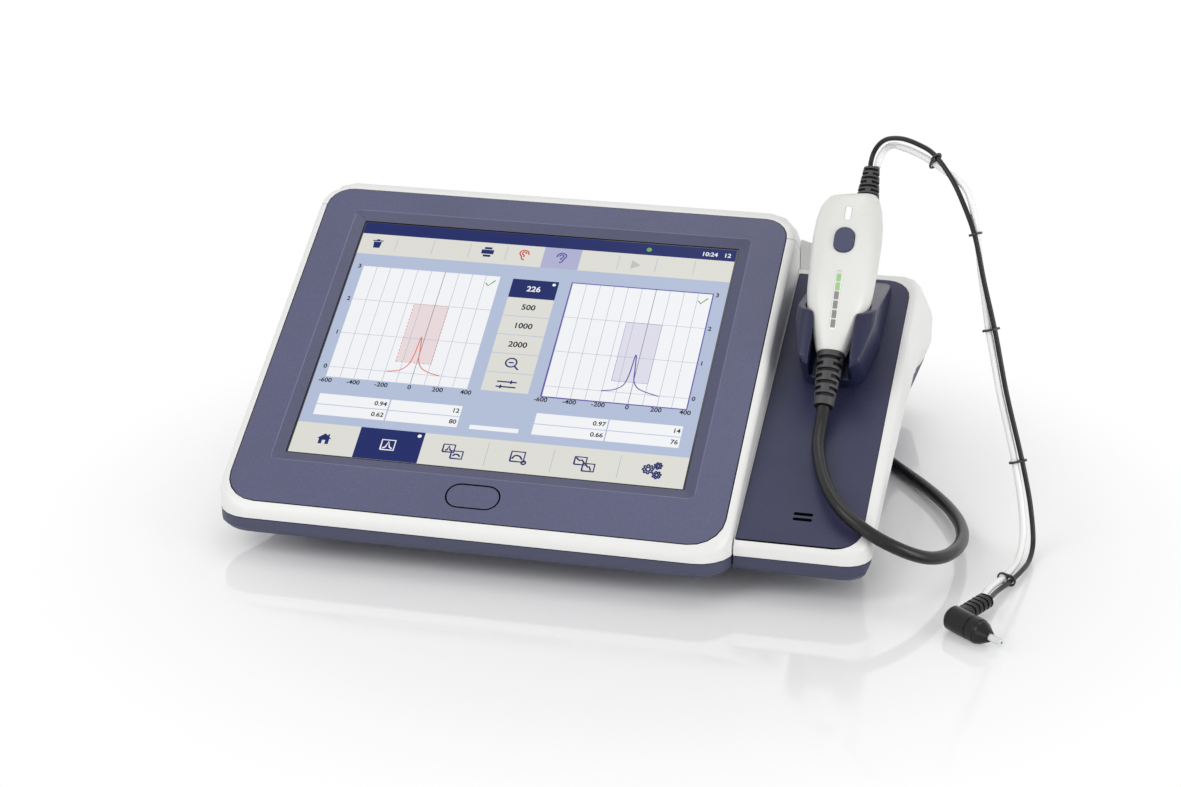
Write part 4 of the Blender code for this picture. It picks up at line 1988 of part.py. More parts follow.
build_main_housing()
build_front_bezel()
build_display()
build_power_button()
build_wing()
build_printer_lid()
build_platen()
build_paper()
build_connectors()
build_feet()
build_board()
build_air_system()
build_probe()
build_boots()
build_cradle()
build_cords()
build_clips()
build_plug()
build_tip()
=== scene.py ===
"""Looks of the desktop ear tester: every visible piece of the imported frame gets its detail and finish."""
import json
import math
import bpy
from mathutils import Matrix, Vector


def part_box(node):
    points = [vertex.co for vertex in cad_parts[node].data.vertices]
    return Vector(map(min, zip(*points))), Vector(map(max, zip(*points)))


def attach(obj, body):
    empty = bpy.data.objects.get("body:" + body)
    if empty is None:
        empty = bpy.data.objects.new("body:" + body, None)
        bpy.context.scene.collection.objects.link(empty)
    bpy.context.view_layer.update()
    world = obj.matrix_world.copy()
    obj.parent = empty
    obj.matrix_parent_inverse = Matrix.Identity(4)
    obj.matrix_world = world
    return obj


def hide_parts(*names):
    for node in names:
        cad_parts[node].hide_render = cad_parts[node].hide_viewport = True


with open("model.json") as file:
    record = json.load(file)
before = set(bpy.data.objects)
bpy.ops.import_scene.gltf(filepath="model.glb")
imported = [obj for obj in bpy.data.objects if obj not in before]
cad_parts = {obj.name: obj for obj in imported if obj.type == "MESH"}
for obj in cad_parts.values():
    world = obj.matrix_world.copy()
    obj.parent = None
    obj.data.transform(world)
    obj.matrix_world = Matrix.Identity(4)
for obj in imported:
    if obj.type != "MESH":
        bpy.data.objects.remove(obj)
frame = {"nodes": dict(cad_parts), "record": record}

for left_over in ("Cube", "Light", "Camera"):
    if left_over in bpy.data.objects:
        bpy.data.objects.remove(bpy.data.objects[left_over])
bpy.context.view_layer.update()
scene = bpy.context.scene
scene.view_settings.view_transform = "Standard"


def shown(name, data):
    """A new object of the scene that has this shape or light."""
    thing = bpy.data.objects.new(name, data)
    scene.collection.objects.link(thing)
    return thing


# Camera: a long lens a little above the table, slightly to the right of the device, as a catalogue
# picture is taken. Its place was found from the corners of the screen and the wing.
EYE = (0.3036, -1.2757, 0.5785)
EYE_HEIGHT_ANGLE = 22.0
EYE_TURN = 13.48
camera_data = bpy.data.cameras.new("photo_camera")
camera_data.lens = 79.49
camera_data.sensor_width = 36
camera_data.clip_start = 0.05
camera_data.clip_end = 30
camera = shown("photo_camera", camera_data)
camera.location = EYE
camera.rotation_euler = (math.radians(90 - EYE_HEIGHT_ANGLE), 0, math.radians(EYE_TURN))
scene.camera = camera


# Table: a white glossy studio table top. Near the device it takes the soft shadow and a faint
# mirror image, and farther out it fades into the plain white background.
class Signal:
    """A shader socket that takes part in sums, so that shader maths reads as maths."""

    def __init__(self, tree, socket=None):
        self.tree = tree
        self.socket = socket

    def feed(self, socket, value):
        if isinstance(value, Signal):
            self.tree.links.new(value.socket, socket)
        else:
            socket.default_value = value

    def make(self, kind, settings, inputs, output=0):
        node = self.tree.nodes.new(kind)
        for name, setting in settings.items():
            if name == "stops":
                ramp = node.color_ramp.elements
                ramp[0].position, ramp[0].color = setting[0]
                ramp[1].position, ramp[1].color = setting[-1]
                for place, colour in setting[1:-1]:
                    ramp.new(place).color = colour
            elif name == "spread":
                node.color_ramp.interpolation = setting
            else:
                setattr(node, name, setting)
        for name, value in inputs.items():
            self.feed(node.inputs[name], value)
        return Signal(self.tree, node.outputs[output])

    def maths(self, operation, first, second):
        return self.make("ShaderNodeMath", {"operation": operation}, {0: first, 1: second})

    def __add__(self, other):
        return self.maths("ADD", self, other)

    def __radd__(self, other):
        return self.maths("ADD", other, self)

    def __sub__(self, other):
        return self.maths("SUBTRACT", self, other)

    def __rsub__(self, other):
        return self.maths("SUBTRACT", other, self)

    def __mul__(self, other):
        return self.maths("MULTIPLY", self, other)

    def __rmul__(self, other):
        return self.maths("MULTIPLY", other, self)

    def __gt__(self, other):
        return self.maths("GREATER_THAN", self, other)

    def vector(self, operation, other, output=0):
        return self.make("ShaderNodeVectorMath", {"operation": operation}, {0: self, 1: other}, output)

    def length(self):
        return self.make("ShaderNodeVectorMath", {"operation": "LENGTH"}, {0: self}, "Value")

    def noise(self, scale, detail):
        """Soft noise at this place."""
        return self.make("ShaderNodeTexNoise", {}, {"Vector": self, "Scale": scale, "Detail": detail})

    def blend(self, low, high):
        """The colour between low and high that this share stands for."""
        return self.make("ShaderNodeMix", {"data_type": "RGBA"}, {0: self, 6: low, 7: high}, 2)

    def relief(self, strength, distance):
        """Bumps of this height, as a normal."""
        return self.make("ShaderNodeBump", {}, {"Strength": strength, "Distance": distance, "Height": self})


def blank(name):
    """A new material, its principled surface and the signal of a point's place on the object."""
    material = bpy.data.materials.new(name)
    material.use_nodes = True
    place = Signal(material.node_tree).make("ShaderNodeTexCoord", {}, {}, "Object")
    return material, material.node_tree.nodes["Principled BSDF"], place


def wear(surface, looks):
    """Gives a surface its looks: a value is set on its socket, and a signal is linked to it."""
    for name, look in looks.items():
        Signal(surface.id_data).feed(surface.inputs[name], look)


def tone(red, green, blue):
    """A colour as it is read off a screen, 0 to 255, turned into the linear one that shaders take."""
    parts = [part / 255 for part in (red, green, blue)]
    return tuple(p / 12.92 if p <= 0.04045 else ((p + 0.055) / 1.055) ** 2.4 for p in parts) + (1.0,)


def scaled(colour, share):
    """A lighter or darker colour of the same hue."""
    return tuple(min(1.0, part * share) for part in colour[:3]) + (1.0,)


table_material, table_surface, place = blank("studio_table")
cloud = place.noise(6.0, 2.0)
wear(table_surface, {
    "Base Color": (0.98, 0.98, 0.98, 1),
    "Roughness": 0.05 + cloud * 0.05,
    "Specular IOR Level": 0.9,
})
SHADOW_MIDDLE = (0.03, -0.05, 0)
FADES_FROM, FADES_TO = 0.15, 0.33
away = place.vector("SUBTRACT", SHADOW_MIDDLE).vector("MULTIPLY", (1.0, 1.0, 0)).length()
rays = place.make("ShaderNodeLightPath", {}, {}, "Is Camera Ray")
fading = {"Value": away, "From Min": FADES_FROM, "From Max": FADES_TO}
fade = place.make("ShaderNodeMapRange", {"interpolation_type": "SMOOTHSTEP"}, fading)
white = place.make("ShaderNodeEmission", {}, {"Color": (1, 1, 1, 1), "Strength": 1.0})
surface = Signal(table_material.node_tree, table_surface.outputs[0])
faded = place.make("ShaderNodeMixShader", {}, {0: fade * rays, 1: surface, 2: white})
output = table_material.node_tree.nodes["Material Output"]
place.feed(output.inputs["Surface"], faded)
bpy.ops.object.select_all(action="DESELECT")
bpy.ops.mesh.primitive_plane_add(size=12, location=(0, 0, 0))
table = bpy.context.object
table.name = "studio_table"
table.data.materials.append(table_material)

# Studio light: two broad soft boxes, high at the left front and low at the right, weaker ones above and
# low in front, and even light from all round. Their sum is the level at which a colour shows about as
# it is written.
sky = bpy.data.worlds.new("studio")
scene.world = sky
sky.use_nodes = True
start = Signal(sky.node_tree)
seen = start.make("ShaderNodeLightPath", {}, {}, "Is Camera Ray")
mirrored = start.make("ShaderNodeLightPath", {}, {}, "Is Glossy Ray")
through = start.make("ShaderNodeLightPath", {}, {}, "Is Transmission Ray")
plain = start.maths("MAXIMUM", start.maths("MAXIMUM", seen, mirrored), through)
level = 0.50 + plain * 0.50
start.feed(sky.node_tree.nodes["Background"].inputs["Strength"], level)
start.feed(sky.node_tree.nodes["Background"].inputs["Color"], (1, 1, 1, 1))
for name, place, size, power in (
    ("soft_box_left", (-0.85, -0.95, 1.15), 1.1, 8.0),
    ("soft_box_right", (1.6, -0.5, 0.45), 0.9, 9.0),
    ("soft_box_front", (-0.4, -1.9, 0.45), 1.2, 3.2),
    ("soft_box_top", (0.1, 0.5, 1.8), 1.0, 3.6),
):
    lamp_data = bpy.data.lights.new(name, "AREA")
    lamp_data.shape = "DISK"
    lamp_data.size = size
    lamp_data.energy = power
    lamp = shown(name, lamp_data)
    lamp.location = place
    lamp.rotation_mode = "QUATERNION"
    lamp.rotation_quaternion = (Vector(place) - Vector((0, 0, 0.05))).to_track_quat("Z", "Y")

# Probe cable: one round cable in black satin sheath, 6.8 mm thick. It leaves the boot under the probe,
# loops out over the front right corner, runs back under the wing, lies in a coil and ends in the plug.
CABLE_THICK = 0.0068
CABLE_FRONT = [
    (0.1319, -0.0485, 0.0725), (0.1319, -0.0540, 0.0672), (0.1325, -0.0678, 0.0598),
    (0.1356, -0.0799, 0.0552), (0.1402, -0.0929, 0.0510), (0.1469, -0.1048, 0.0466),
    (0.1544, -0.1127, 0.0426), (0.1620, -0.1169, 0.0392), (0.1698, -0.1183, 0.0352),
    (0.1782, -0.1173, 0.0308), (0.1868, -0.1136, 0.0260), (0.1945, -0.1066, 0.0214),
    (0.2008, -0.0956, 0.0176), (0.2056, -0.0783, 0.0140), (0.2068, -0.0565, 0.0106),
    (0.2037, -0.0356, 0.0082), (0.1970, -0.0153, 0.0064), (0.1882, 0.0025, 0.0052),
    (0.1777, 0.0194, 0.0044), (0.1670, 0.0342, 0.0039), (0.1550, 0.0505, 0.0038),
    (0.1420, 0.0724, 0.0038), (0.1280, 0.1060, 0.0039), (0.1185, 0.1440, 0.0041),
    (0.1140, 0.1840, 0.0044), (0.1129, 0.2160, 0.0046), (0.1129, 0.2390, 0.0046),
]
CABLE_REAR = [
    (0.0261, 0.2390, 0.0122), (0.0261, 0.2315, 0.0129), (0.0261, 0.2240, 0.0149),
    (0.0261, 0.2088, 0.0231), (0.0261, 0.1935, 0.0313), (0.0261, 0.1860, 0.0333),
    (0.0261, 0.1783, 0.0340),
]
COIL_CENTRE = (0.069475, 0.2464)
COIL_RADIUS = 0.043375
COIL_TURNS = 1.5
COIL_PITCH = 0.0085
COIL_RISE = 0.0076
COIL_LOW = 0.0046
CURVE_STEPS = 24
TURN_STEPS = 48


def smooth_route(points, spacing):
    """Points at an even spacing along the smooth curve through a route's points."""
    route = [Vector(point) for point in points]
    route = [route[0] * 2 - route[1]] + route + [route[-1] * 2 - route[-2]]
    dense = []
    for k in range(1, len(route) - 2):
        before, here, there, after = route[k - 1 : k + 3]
        t0 = 0.0
        t1 = t0 + math.sqrt((here - before).length)
        t2 = t1 + math.sqrt((there - here).length)
        t3 = t2 + math.sqrt((after - there).length)
        for i in range(CURVE_STEPS):
            t = t1 + (t2 - t1) * i / CURVE_STEPS
            a1 = (before * (t1 - t) + here * (t - t0)) / (t1 - t0)
            a2 = (here * (t2 - t) + there * (t - t1)) / (t2 - t1)
            a3 = (there * (t3 - t) + after * (t - t2)) / (t3 - t2)
            b1 = (a1 * (t2 - t) + a2 * (t - t0)) / (t2 - t0)
            b2 = (a2 * (t3 - t) + a3 * (t - t1)) / (t3 - t1)
            dense.append((b1 * (t2 - t) + b2 * (t - t1)) / (t2 - t1))
    dense.append(route[-2])
    even = [dense[0]]
    for point in dense:
        if (point - even[-1]).length >= spacing:
            even.append(point)
    if (dense[-1] - even[-1]).length < spacing / 2:
        even.pop()
    return even + [dense[-1]]


def measured(points):
    """Length of a route."""
    return sum((b - a).length for a, b in zip(points, points[1:]))


def traced(name, lines, looped, settings):
    """A curve of lines, each a list of points in metres."""
    curve = bpy.data.curves.new(name, "CURVE")
    for kind, setting in settings.items():
        setattr(curve, kind, setting)
    for line in lines:
        spline = curve.splines.new("POLY")
        spline.points.add(len(line) - 1)
        for point, spot in zip(spline.points, line):
            point.co = (*spot, 1)
        spline.use_cyclic_u = looped
    return shown(name, curve)


def sheathed(name, points, thick, material, body):
    """A round cord on a route's points, with closed ends."""
    sheath = {"dimensions": "3D", "bevel_depth": thick / 2, "bevel_resolution": 5, "use_fill_caps": True}
    cord = traced(name, [points], False, sheath)
    cord.data.materials.append(material)
    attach(cord, body)
    return cord


def rubbery(name, colour, roughness, scale, gloss=0.5):
    """Black sheath or rubber: a soft sheen that varies, fine dust, and a faint drawn texture."""
    material, surface, place = blank(name)
    cloud = place.noise(45.0, 3.0)
    fine = place.noise(scale, 3.0)
    dust = place.noise(900.0, 1.0)
    sheath = cloud.blend(scaled(colour, 0.8), scaled(colour, 1.3))
    grey = tuple(0.04 + part for part in colour) + (1.0,)
    wear(surface, {
        "Base Color": ((dust > 0.69) * 0.35).blend(sheath, grey),
        "Roughness": roughness + (cloud - 0.5) * 0.16 + (fine - 0.5) * 0.1,
        "Specular IOR Level": gloss,
        "Normal": fine.relief(0.3, 0.00005),
    })
    return material


cable_sheath = rubbery("cable_sheath", (0.010, 0.010, 0.011), 0.30, 2200.0, 0.32)
coil = []
turns = COIL_TURNS * 2 + 0.5
for step in range(round(turns * TURN_STEPS) + 1):
    turn = step / TURN_STEPS
    share = min(1, max(0, (turn - COIL_TURNS) * 2))
    inward = min(turn, COIL_TURNS, turns - turn)
    reach = COIL_RADIUS - COIL_PITCH * inward
    rise = COIL_LOW + COIL_RISE * share * share * (3 - 2 * share)
    angle = math.tau * turn
    coil.append(Vector((COIL_CENTRE[0] + reach * math.cos(angle), COIL_CENTRE[1] + reach * math.sin(angle), rise)))
cable_route = smooth_route(CABLE_FRONT, 0.0040) + coil + smooth_route(CABLE_REAR, 0.0040)
cable = sheathed("probe_cable", cable_route, CABLE_THICK, cable_sheath, "main")
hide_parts("probe_cable_front", "probe_cable_coil", "probe_cable_rear")

# Tip lead and air tube: a thin black lead, 2.6 mm, and a soft clear hose, 3.6 mm, that carries the air
# pressure. Both leave the upper boot of the probe, arch over and come down to the elbow of the tip.
LEAD = [
    (0.1384, 0.0504, 0.1714), (0.1384, 0.0536, 0.1746), (0.1400, 0.0546, 0.1798),
    (0.1452, 0.0500, 0.1868), (0.1551, 0.0398, 0.1914), (0.1661, 0.0290, 0.1918),
    (0.1745, 0.0214, 0.1897), (0.1855, 0.0114, 0.1798), (0.1931, 0.0044, 0.1683),
    (0.1995, -0.0016, 0.1556), (0.2066, -0.0081, 0.1317), (0.2136, -0.0146, 0.1100),
    (0.2221, -0.0226, 0.0790), (0.2331, -0.0326, 0.0455), (0.2391, -0.0390, 0.0240),
    (0.2420, -0.0460, 0.0075), (0.2415, -0.0570, 0.0030), (0.2388, -0.0720, 0.0032),
    (0.2341, -0.0870, 0.0036), (0.2290, -0.1010, 0.0045), (0.2262, -0.1162, 0.0070),
]
HOSE = [
    (0.1421, 0.0505, 0.1715), (0.1421, 0.0513, 0.1723), (0.1428, 0.0537, 0.1757),
    (0.1446, 0.0544, 0.1794), (0.1472, 0.0533, 0.1825), (0.1496, 0.0512, 0.1841),
    (0.1560, 0.0402, 0.1866), (0.1640, 0.0312, 0.1870), (0.1726, 0.0236, 0.1855),
    (0.1800, 0.0190, 0.1825), (0.1926, 0.0109, 0.1758), (0.1972, 0.0058, 0.1675),
    (0.1995, 0.0032, 0.1583), (0.2004, 0.0019, 0.1543), (0.2022, -0.0003, 0.1459),
    (0.2040, -0.0028, 0.1366), (0.2061, -0.0056, 0.1273), (0.2082, -0.0090, 0.1183),
    (0.2103, -0.0130, 0.1091), (0.2126, -0.0155, 0.1010), (0.2183, -0.0213, 0.0794),
    (0.2237, -0.0259, 0.0625), (0.2291, -0.0318, 0.0455), (0.2345, -0.0400, 0.0250),
    (0.2366, -0.0460, 0.0110), (0.2362, -0.0570, 0.0044), (0.2340, -0.0716, 0.0036),
    (0.2300, -0.0856, 0.0040), (0.2254, -0.1000, 0.0055), (0.2228, -0.1144, 0.0070),
]
lead_route = smooth_route(LEAD, 0.0025)
lead = sheathed("tip_lead_cord", lead_route, 0.0026, cable_sheath, "probe")
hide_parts("tip_lead")


def clear(name, colour, roughness, edge_shade_share):
    """Clear plastic with a wet gloss, its colour darkened where its wall is seen edge on as painted shade."""
    material, surface, place = blank(name)
    cloud = place.noise(120.0, 2.0)
    edge_on = place.make("ShaderNodeLayerWeight", {}, {"Blend": 0.35}, "Facing")
    # Painted shade: the wall's colour is darkened where it is seen edge on
    wall = edge_on.blend(scaled(colour, 1), scaled(colour, edge_shade_share))
    wear(surface, {
        "Base Color": (cloud * 0.3).blend(wall, scaled(colour, 1.05)),
        "Roughness": roughness + (cloud - 0.5) * 0.08,
        "IOR": 1.42,
        "Coat Weight": 0.5,
        "Coat Roughness": 0.05,
    })
    return material


# The hose's edges seen edge on are painted a little darker: painted shade
hose_wall = clear("clear_hose_wall", (0.97, 0.975, 0.96), 0.22, 0.92)
hose_route = smooth_route(HOSE, 0.0025)
hose = sheathed("air_hose", hose_route, 0.0036, hose_wall, "probe")
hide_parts("air_tube")


# Main housing: two moulded shells of white, finely textured plastic, the front frame round the face
# and the rear cover, which meet at a seam across the upper corners, on a blue-grey bottom shell.
def alone(piece):
    """Makes a piece the only selected one, and the active one."""
    bpy.ops.object.select_all(action="DESELECT")
    piece.select_set(True)
    bpy.context.view_layer.objects.active = piece


def modified(piece, kind, settings):
    """Gives a piece a modifier and applies it."""
    alone(piece)
    modifier = piece.modifiers.new(kind, kind)
    for name, setting in settings.items():
        setattr(modifier, name, setting)
    bpy.ops.object.modifier_apply(modifier=modifier.name)


def round_edges(piece, edge, steps, angle, crease=44):
    """Breaks the sharp edges of a finished shape and shades its curves smooth up to the crease angle."""
    bevel = {"width": edge, "segments": steps, "limit_method": "ANGLE", "angle_limit": math.radians(angle)}
    modified(piece, "BEVEL", bevel)
    bpy.ops.object.shade_smooth_by_angle(angle=math.radians(crease))
    modified(piece, "WEIGHTED_NORMAL", {"keep_sharp": True})


def dressed(node, name, material, body, edge=0.0003, steps=2, angle=32, crease=44):
    """A cleaned copy of a CAD solid with broken edges, which stands in its place."""
    piece = shown(name, frame["nodes"][node].data.copy())
    piece.data.name = name
    alone(piece)
    bpy.ops.mesh.customdata_custom_splitnormals_clear()
    bpy.ops.object.mode_set(mode="EDIT")
    bpy.ops.mesh.select_all(action="SELECT")
    bpy.ops.mesh.remove_doubles(threshold=0.00001)
    bpy.ops.mesh.dissolve_limited(angle_limit=math.radians(0.6))
    bpy.ops.object.mode_set(mode="OBJECT")
    piece.data.materials.clear()
    piece.data.materials.append(material)
    round_edges(piece, edge, steps, angle, crease)
    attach(piece, body)
    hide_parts(node)
    return piece


def moulded(name, colour, roughness, grain, depth, mottle=0.04, gloss=0.5):
    """Moulded plastic: a spark-eroded grain, a slight clouding of the colour and uneven gloss."""
    material, surface, place = blank(name)
    cloud = place.noise(16.0, 3.0)
    fine = place.noise(grain, 2.0)
    worn = place.noise(70.0, 4.0)
    even = cloud * 0.35 + fine * 0.65
    wear(surface, {
        "Base Color": even.blend(scaled(colour, 1 - mottle), scaled(colour, 1 + mottle)),
        "Roughness": roughness + (worn - 0.5) * 0.14 + (fine - 0.5) * 0.08,
        "Specular IOR Level": gloss,
        "Normal": fine.relief(0.35, depth),
    })
    return material


white_shell = moulded("white_shell", tone(240, 240, 238), 0.36, 2600.0, 0.00002, 0.012)
blue_shell = moulded("blue_grey_shell", tone(68, 70, 96), 0.46, 1900.0, 0.00004, 0.06)
dressed("front_frame", "front_frame_shell", white_shell, "main", 0.0005)
dressed("rear_cover", "rear_cover_shell", white_shell, "main", 0.0004)
bottom_tray = dressed("bottom_shell", "bottom_tray", blue_shell, "main", 0.0009)

# Face inlay: a blue-grey moulded panel, let flush into the white frame, with a stepped recess round
# the screen. Its surface has a fine matt grain; it is glued on its ledge, so no screws show.
blue_inlay = moulded("blue_grey_inlay", tone(83, 85, 117), 0.42, 900.0, 0.00006, 0.36)
# Painted shade: a near-black finish on the walls and rims of narrow joints, where the gaps lie in shade
joint_shade_paint = moulded("joint_shade_paint", tone(10, 10, 13), 0.80, 1500.0, 0.00003, 0.1, 0.1)


FACE_LEANS = 29.4
WALL_FACES = 0.94
SLOPE_FACES = 0.962
LEVEL_FACES = 0.998
RIM_FROM_HEIGHT = 0.018


def outward(leans):
    """The way a front face looks that leans back this many degrees from level."""
    return Vector((0, -math.sin(math.radians(leans)), math.cos(math.radians(leans))))


def seamed(piece, leans):
    """Paints the edge and walls of a let-in panel near-black, as painted shade of the narrow joint round it."""
    piece.data.materials.append(joint_shade_paint)
    for face in piece.data.polygons:
        if face.normal.dot(outward(leans)) < WALL_FACES:
            face.material_index = 1


def rim_seamed(tray):
    """Paints the upper rim of a lower shell near-black, as painted shade of the joint under the white shell."""
    tray.data.materials.append(joint_shade_paint)
    for face in tray.data.polygons:
        if face.normal.z > 0.25 and face.center.z > RIM_FROM_HEIGHT:
            face.material_index = 1


# The tray's rim in the joint under the white shell gets painted shade
rim_seamed(bottom_tray)
face_inlay = dressed("front_bezel", "face_inlay", blue_inlay, "main", 0.0008, 2, 12, 12)
# The inlay's edge and walls get painted shade of the joint round it
seamed(face_inlay, FACE_LEANS)
# Recess: painted shade in a darker blue on its slope faces, painted highlight in a lighter blue along its edges
slope_painted_shade = moulded("recess_slope_painted_shade", tone(72, 74, 104), 0.42, 900.0, 0.00006, 0.36)
edge_painted_highlight = moulded("recess_edge_painted_highlight", tone(104, 106, 138), 0.36, 900.0, 0.00004, 0.2)
face_inlay.data.materials.append(slope_painted_shade)
face_inlay.data.materials.append(edge_painted_highlight)
FACE_UP = outward(FACE_LEANS).cross(Vector((1, 0, 0)))
# Faces of the recess: painted highlight on the narrow edge faces, painted shade on the slope
for face in face_inlay.data.polygons:
    facing = face.normal.dot(outward(FACE_LEANS))
    if WALL_FACES < facing < LEVEL_FACES:
        sideways, upwards = abs(face.normal.x), abs(face.normal.dot(FACE_UP))
        on_edge = facing > SLOPE_FACES and min(sideways, upwards) < 0.03
        face.material_index = 3 if on_edge else 2

# Power button: an oval cap of the inlay's own plastic, flush with it, in a narrow joint in painted shade.
# It rests on a switch below and sinks one millimetre when pressed.
cap = dressed("power_button", "power_button_cap", blue_inlay, "power_button", 0.00025)
seamed(cap, FACE_LEANS)

# Touch screen: a 10.4-inch panel behind glass. The glass has a black painted rim, which shows as a
# thin dark line; the picture is the device's page of two curves with its bars of symbols.
SCREEN_MIDDLE = 0.1155
GLASS_TOP = -0.0023
FACE_FOOT = (-0.0339, -0.1365, 0.0298)
# The page's main lines, in millimetres from its lower left corner
PAGE_WIDE, PAGE_HIGH = 210, 162.6
KEYS_TOP, TOOLS_LOW, STATUS_LOW = 20.1, 139.6, 154.5
KEY_WIDE, TOOL_WIDE = 35, 21
CELL_LEFT, CELL_MIDDLE, CELL_RIGHT = 92, 104.9, 117.8
CELLS_LOW, CELL_HIGH = 51.3, 13.1
LAYER = 0.00004
STROKE_ADDED = 0.022
PRESSED_FLAT = 0.02


def stand(origin, right, up):
    """The place of a local drawing plane: its X along right and its Y along up."""
    right, up = Vector(right).normalized(), Vector(up).normalized()
    turn = Matrix((right, up, right.cross(up))).transposed().to_4x4()
    return Matrix.Translation(origin) @ turn


FACE = stand(FACE_FOOT, (1, 0, 0), FACE_UP)
LIT_SHARE = 0.9935
PAGE_LOW = SCREEN_MIDDLE - PAGE_HIGH / 2000 * LIT_SHARE
PAGE_CORNER = (-PAGE_WIDE / 2000 * LIT_SHARE, PAGE_LOW, GLASS_TOP)
PAGE = FACE @ Matrix.Translation(PAGE_CORNER) @ Matrix.Diagonal((LIT_SHARE, LIT_SHARE, 1, 1))


def glowing(name, colour, strength=0.9):
    """A backlit picture colour behind glass: slightly uneven light, fine pixel rows, a clear coat."""
    colour = tone(*colour)
    material, surface, place = blank(name)
    cloud = place.noise(9.0, 1.0)
    rows = place.make(
        "ShaderNodeTexWave", {"bands_direction": "X"}, {"Vector": place, "Scale": 620.0, "Distortion": 0.0}, "Fac"
    )
    light = strength * 0.96 + cloud * 0.05 + rows * 0.012
    smear = place.noise(30.0, 4.0)
    wear(surface, {
        "Emission Color": light.blend((0, 0, 0, 1), colour),
        "Emission Strength": 1.0,
        "Base Color": scaled(colour, 0.04),
        "Roughness": 0.16 + smear * 0.10,
        "Specular IOR Level": 0.1,
    })
    return material


def settled(piece, place, material, body):
    """Puts a finished piece in its place and lets it ride there."""
    piece.matrix_world = place
    alone(piece)
    bpy.ops.object.transform_apply(location=True, rotation=True, scale=True)
    piece.data.materials.append(material)
    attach(piece, body)
    return piece


def on_page(drawing, layer, material):
    """Turns a flat drawing into a mesh and lays it on the page, higher layers over lower ones."""
    alone(drawing)
    if drawing.type != "MESH":
        bpy.ops.object.convert(target="MESH")
        drawing = bpy.context.object
    drawing.data.materials.clear()
    place = PAGE @ Matrix.Translation((0, 0, layer * LAYER)) @ drawing.matrix_world
    return settled(drawing, place, material, "main")


def in_metres(lines):
    """Lines of the page, whose points are in millimetres, as points in metres."""
    return [[(u / 1000, v / 1000, 0) for u, v in line] for line in lines]


def filled(name, outlines, layer, material):
    """Flat closed shapes of one colour on the page, given by their outlines."""
    shape = traced(name, in_metres(outlines), True, {"dimensions": "2D", "fill_mode": "BOTH"})
    return on_page(shape, layer, material)


def bar(u0, v0, u1, v1):
    """Outline of a rectangle."""
    return [(u0, v0), (u1, v0), (u1, v1), (u0, v1)]


def disc(u, v, radius, count=16):
    """Outline of a round dot."""
    turns = [math.tau * k / count for k in range(count)]
    return [(u + radius * math.cos(turn), v + radius * math.sin(turn)) for turn in turns]


def closed(outline):
    """An outline as a line that ends where it starts."""
    return outline + outline[:1]


def drawn(name, lines, wide, layer, material):
    """Thin lines of one colour on the page, each a list of points, pressed flat."""
    stroke = {"dimensions": "3D", "bevel_depth": wide / 2000, "bevel_resolution": 1}
    shape = traced(name, in_metres(lines), False, stroke)
    shape.scale = (1, 1, PRESSED_FLAT)
    return on_page(shape, layer, material)


def figures(name, labels, size, layer, material):
    """Plain numbers on the page: each is its text, its place and its side (LEFT, CENTER or RIGHT)."""
    made = []
    for text, u, v, side in labels:
        bpy.ops.object.text_add(location=(u / 1000, v / 1000, 0))
        figure = bpy.context.object
        figure.data.body = text
        figure.data.size = size / 1000
        figure.data.offset = size / 1000 * STROKE_ADDED
        figure.data.align_x = side
        figure.data.align_y = "CENTER"
        figure.data.resolution_u = 3
        bpy.ops.object.convert(target="MESH")
        made.append(bpy.context.object)
    bpy.ops.object.select_all(action="DESELECT")
    for figure in made:
        figure.select_set(True)
    bpy.context.view_layer.objects.active = made[0]
    if len(made) > 1:
        bpy.ops.object.join()
    made[0].name = name
    bpy.ops.object.transform_apply(location=True, rotation=True, scale=True)
    return on_page(made[0], layer, material)


sky_blue = glowing("page_ground", (184, 196, 222))
bar_beige = glowing("bar_beige", (227, 227, 220))
navy = glowing("page_navy", (32, 44, 106))
page_white = glowing("page_white", (246, 247, 250), 0.92)
line_grey = glowing("page_line", (176, 186, 205))
line_dark = glowing("page_dark_line", (110, 118, 140))
figure_dark = glowing("page_figures", (22, 24, 34))
rose = glowing("page_rose", (238, 222, 225))
salmon = glowing("page_salmon", (226, 128, 112))
salmon_dark = glowing("page_dark_salmon", (206, 78, 62))
lilac = glowing("page_lilac", (180, 182, 214))
lilac_pale = glowing("page_pale_lilac", (228, 226, 240))
violet = glowing("page_violet", (92, 76, 168))
green = glowing("page_green", (110, 178, 96))
soft_blue = glowing("page_soft_blue", (140, 160, 205))
symbol_grey = glowing("page_symbol", (196, 197, 198))

filled("screen_ground", [bar(0, KEYS_TOP, PAGE_WIDE, TOOLS_LOW)], 1, sky_blue)
filled("screen_bars", [bar(0, 0, PAGE_WIDE, KEYS_TOP), bar(0, TOOLS_LOW, PAGE_WIDE, STATUS_LOW)], 1, bar_beige)
filled("screen_status_bar", [bar(0, STATUS_LOW, PAGE_WIDE, PAGE_HIGH)], 1, navy)
filled("screen_tool_selected", [bar(104.8, TOOLS_LOW, 125.7, STATUS_LOW)], 2, lilac)
chosen_cells = [bar(KEY_WIDE, 0, KEY_WIDE * 2, KEYS_TOP), bar(CELL_LEFT, 116.9, CELL_RIGHT, 130)]
filled("screen_selected", chosen_cells, 3, navy)
lows = [CELLS_LOW + CELL_HIGH * k for k in range(5)]
filled("screen_number_cells", [bar(CELL_LEFT, v + 0.4, CELL_RIGHT, v + CELL_HIGH) for v in lows], 2, bar_beige)
left_graph, right_graph = (6.6, 51.5, 84.7, 130.6), (125.3, 51.2, 202.3, 130)
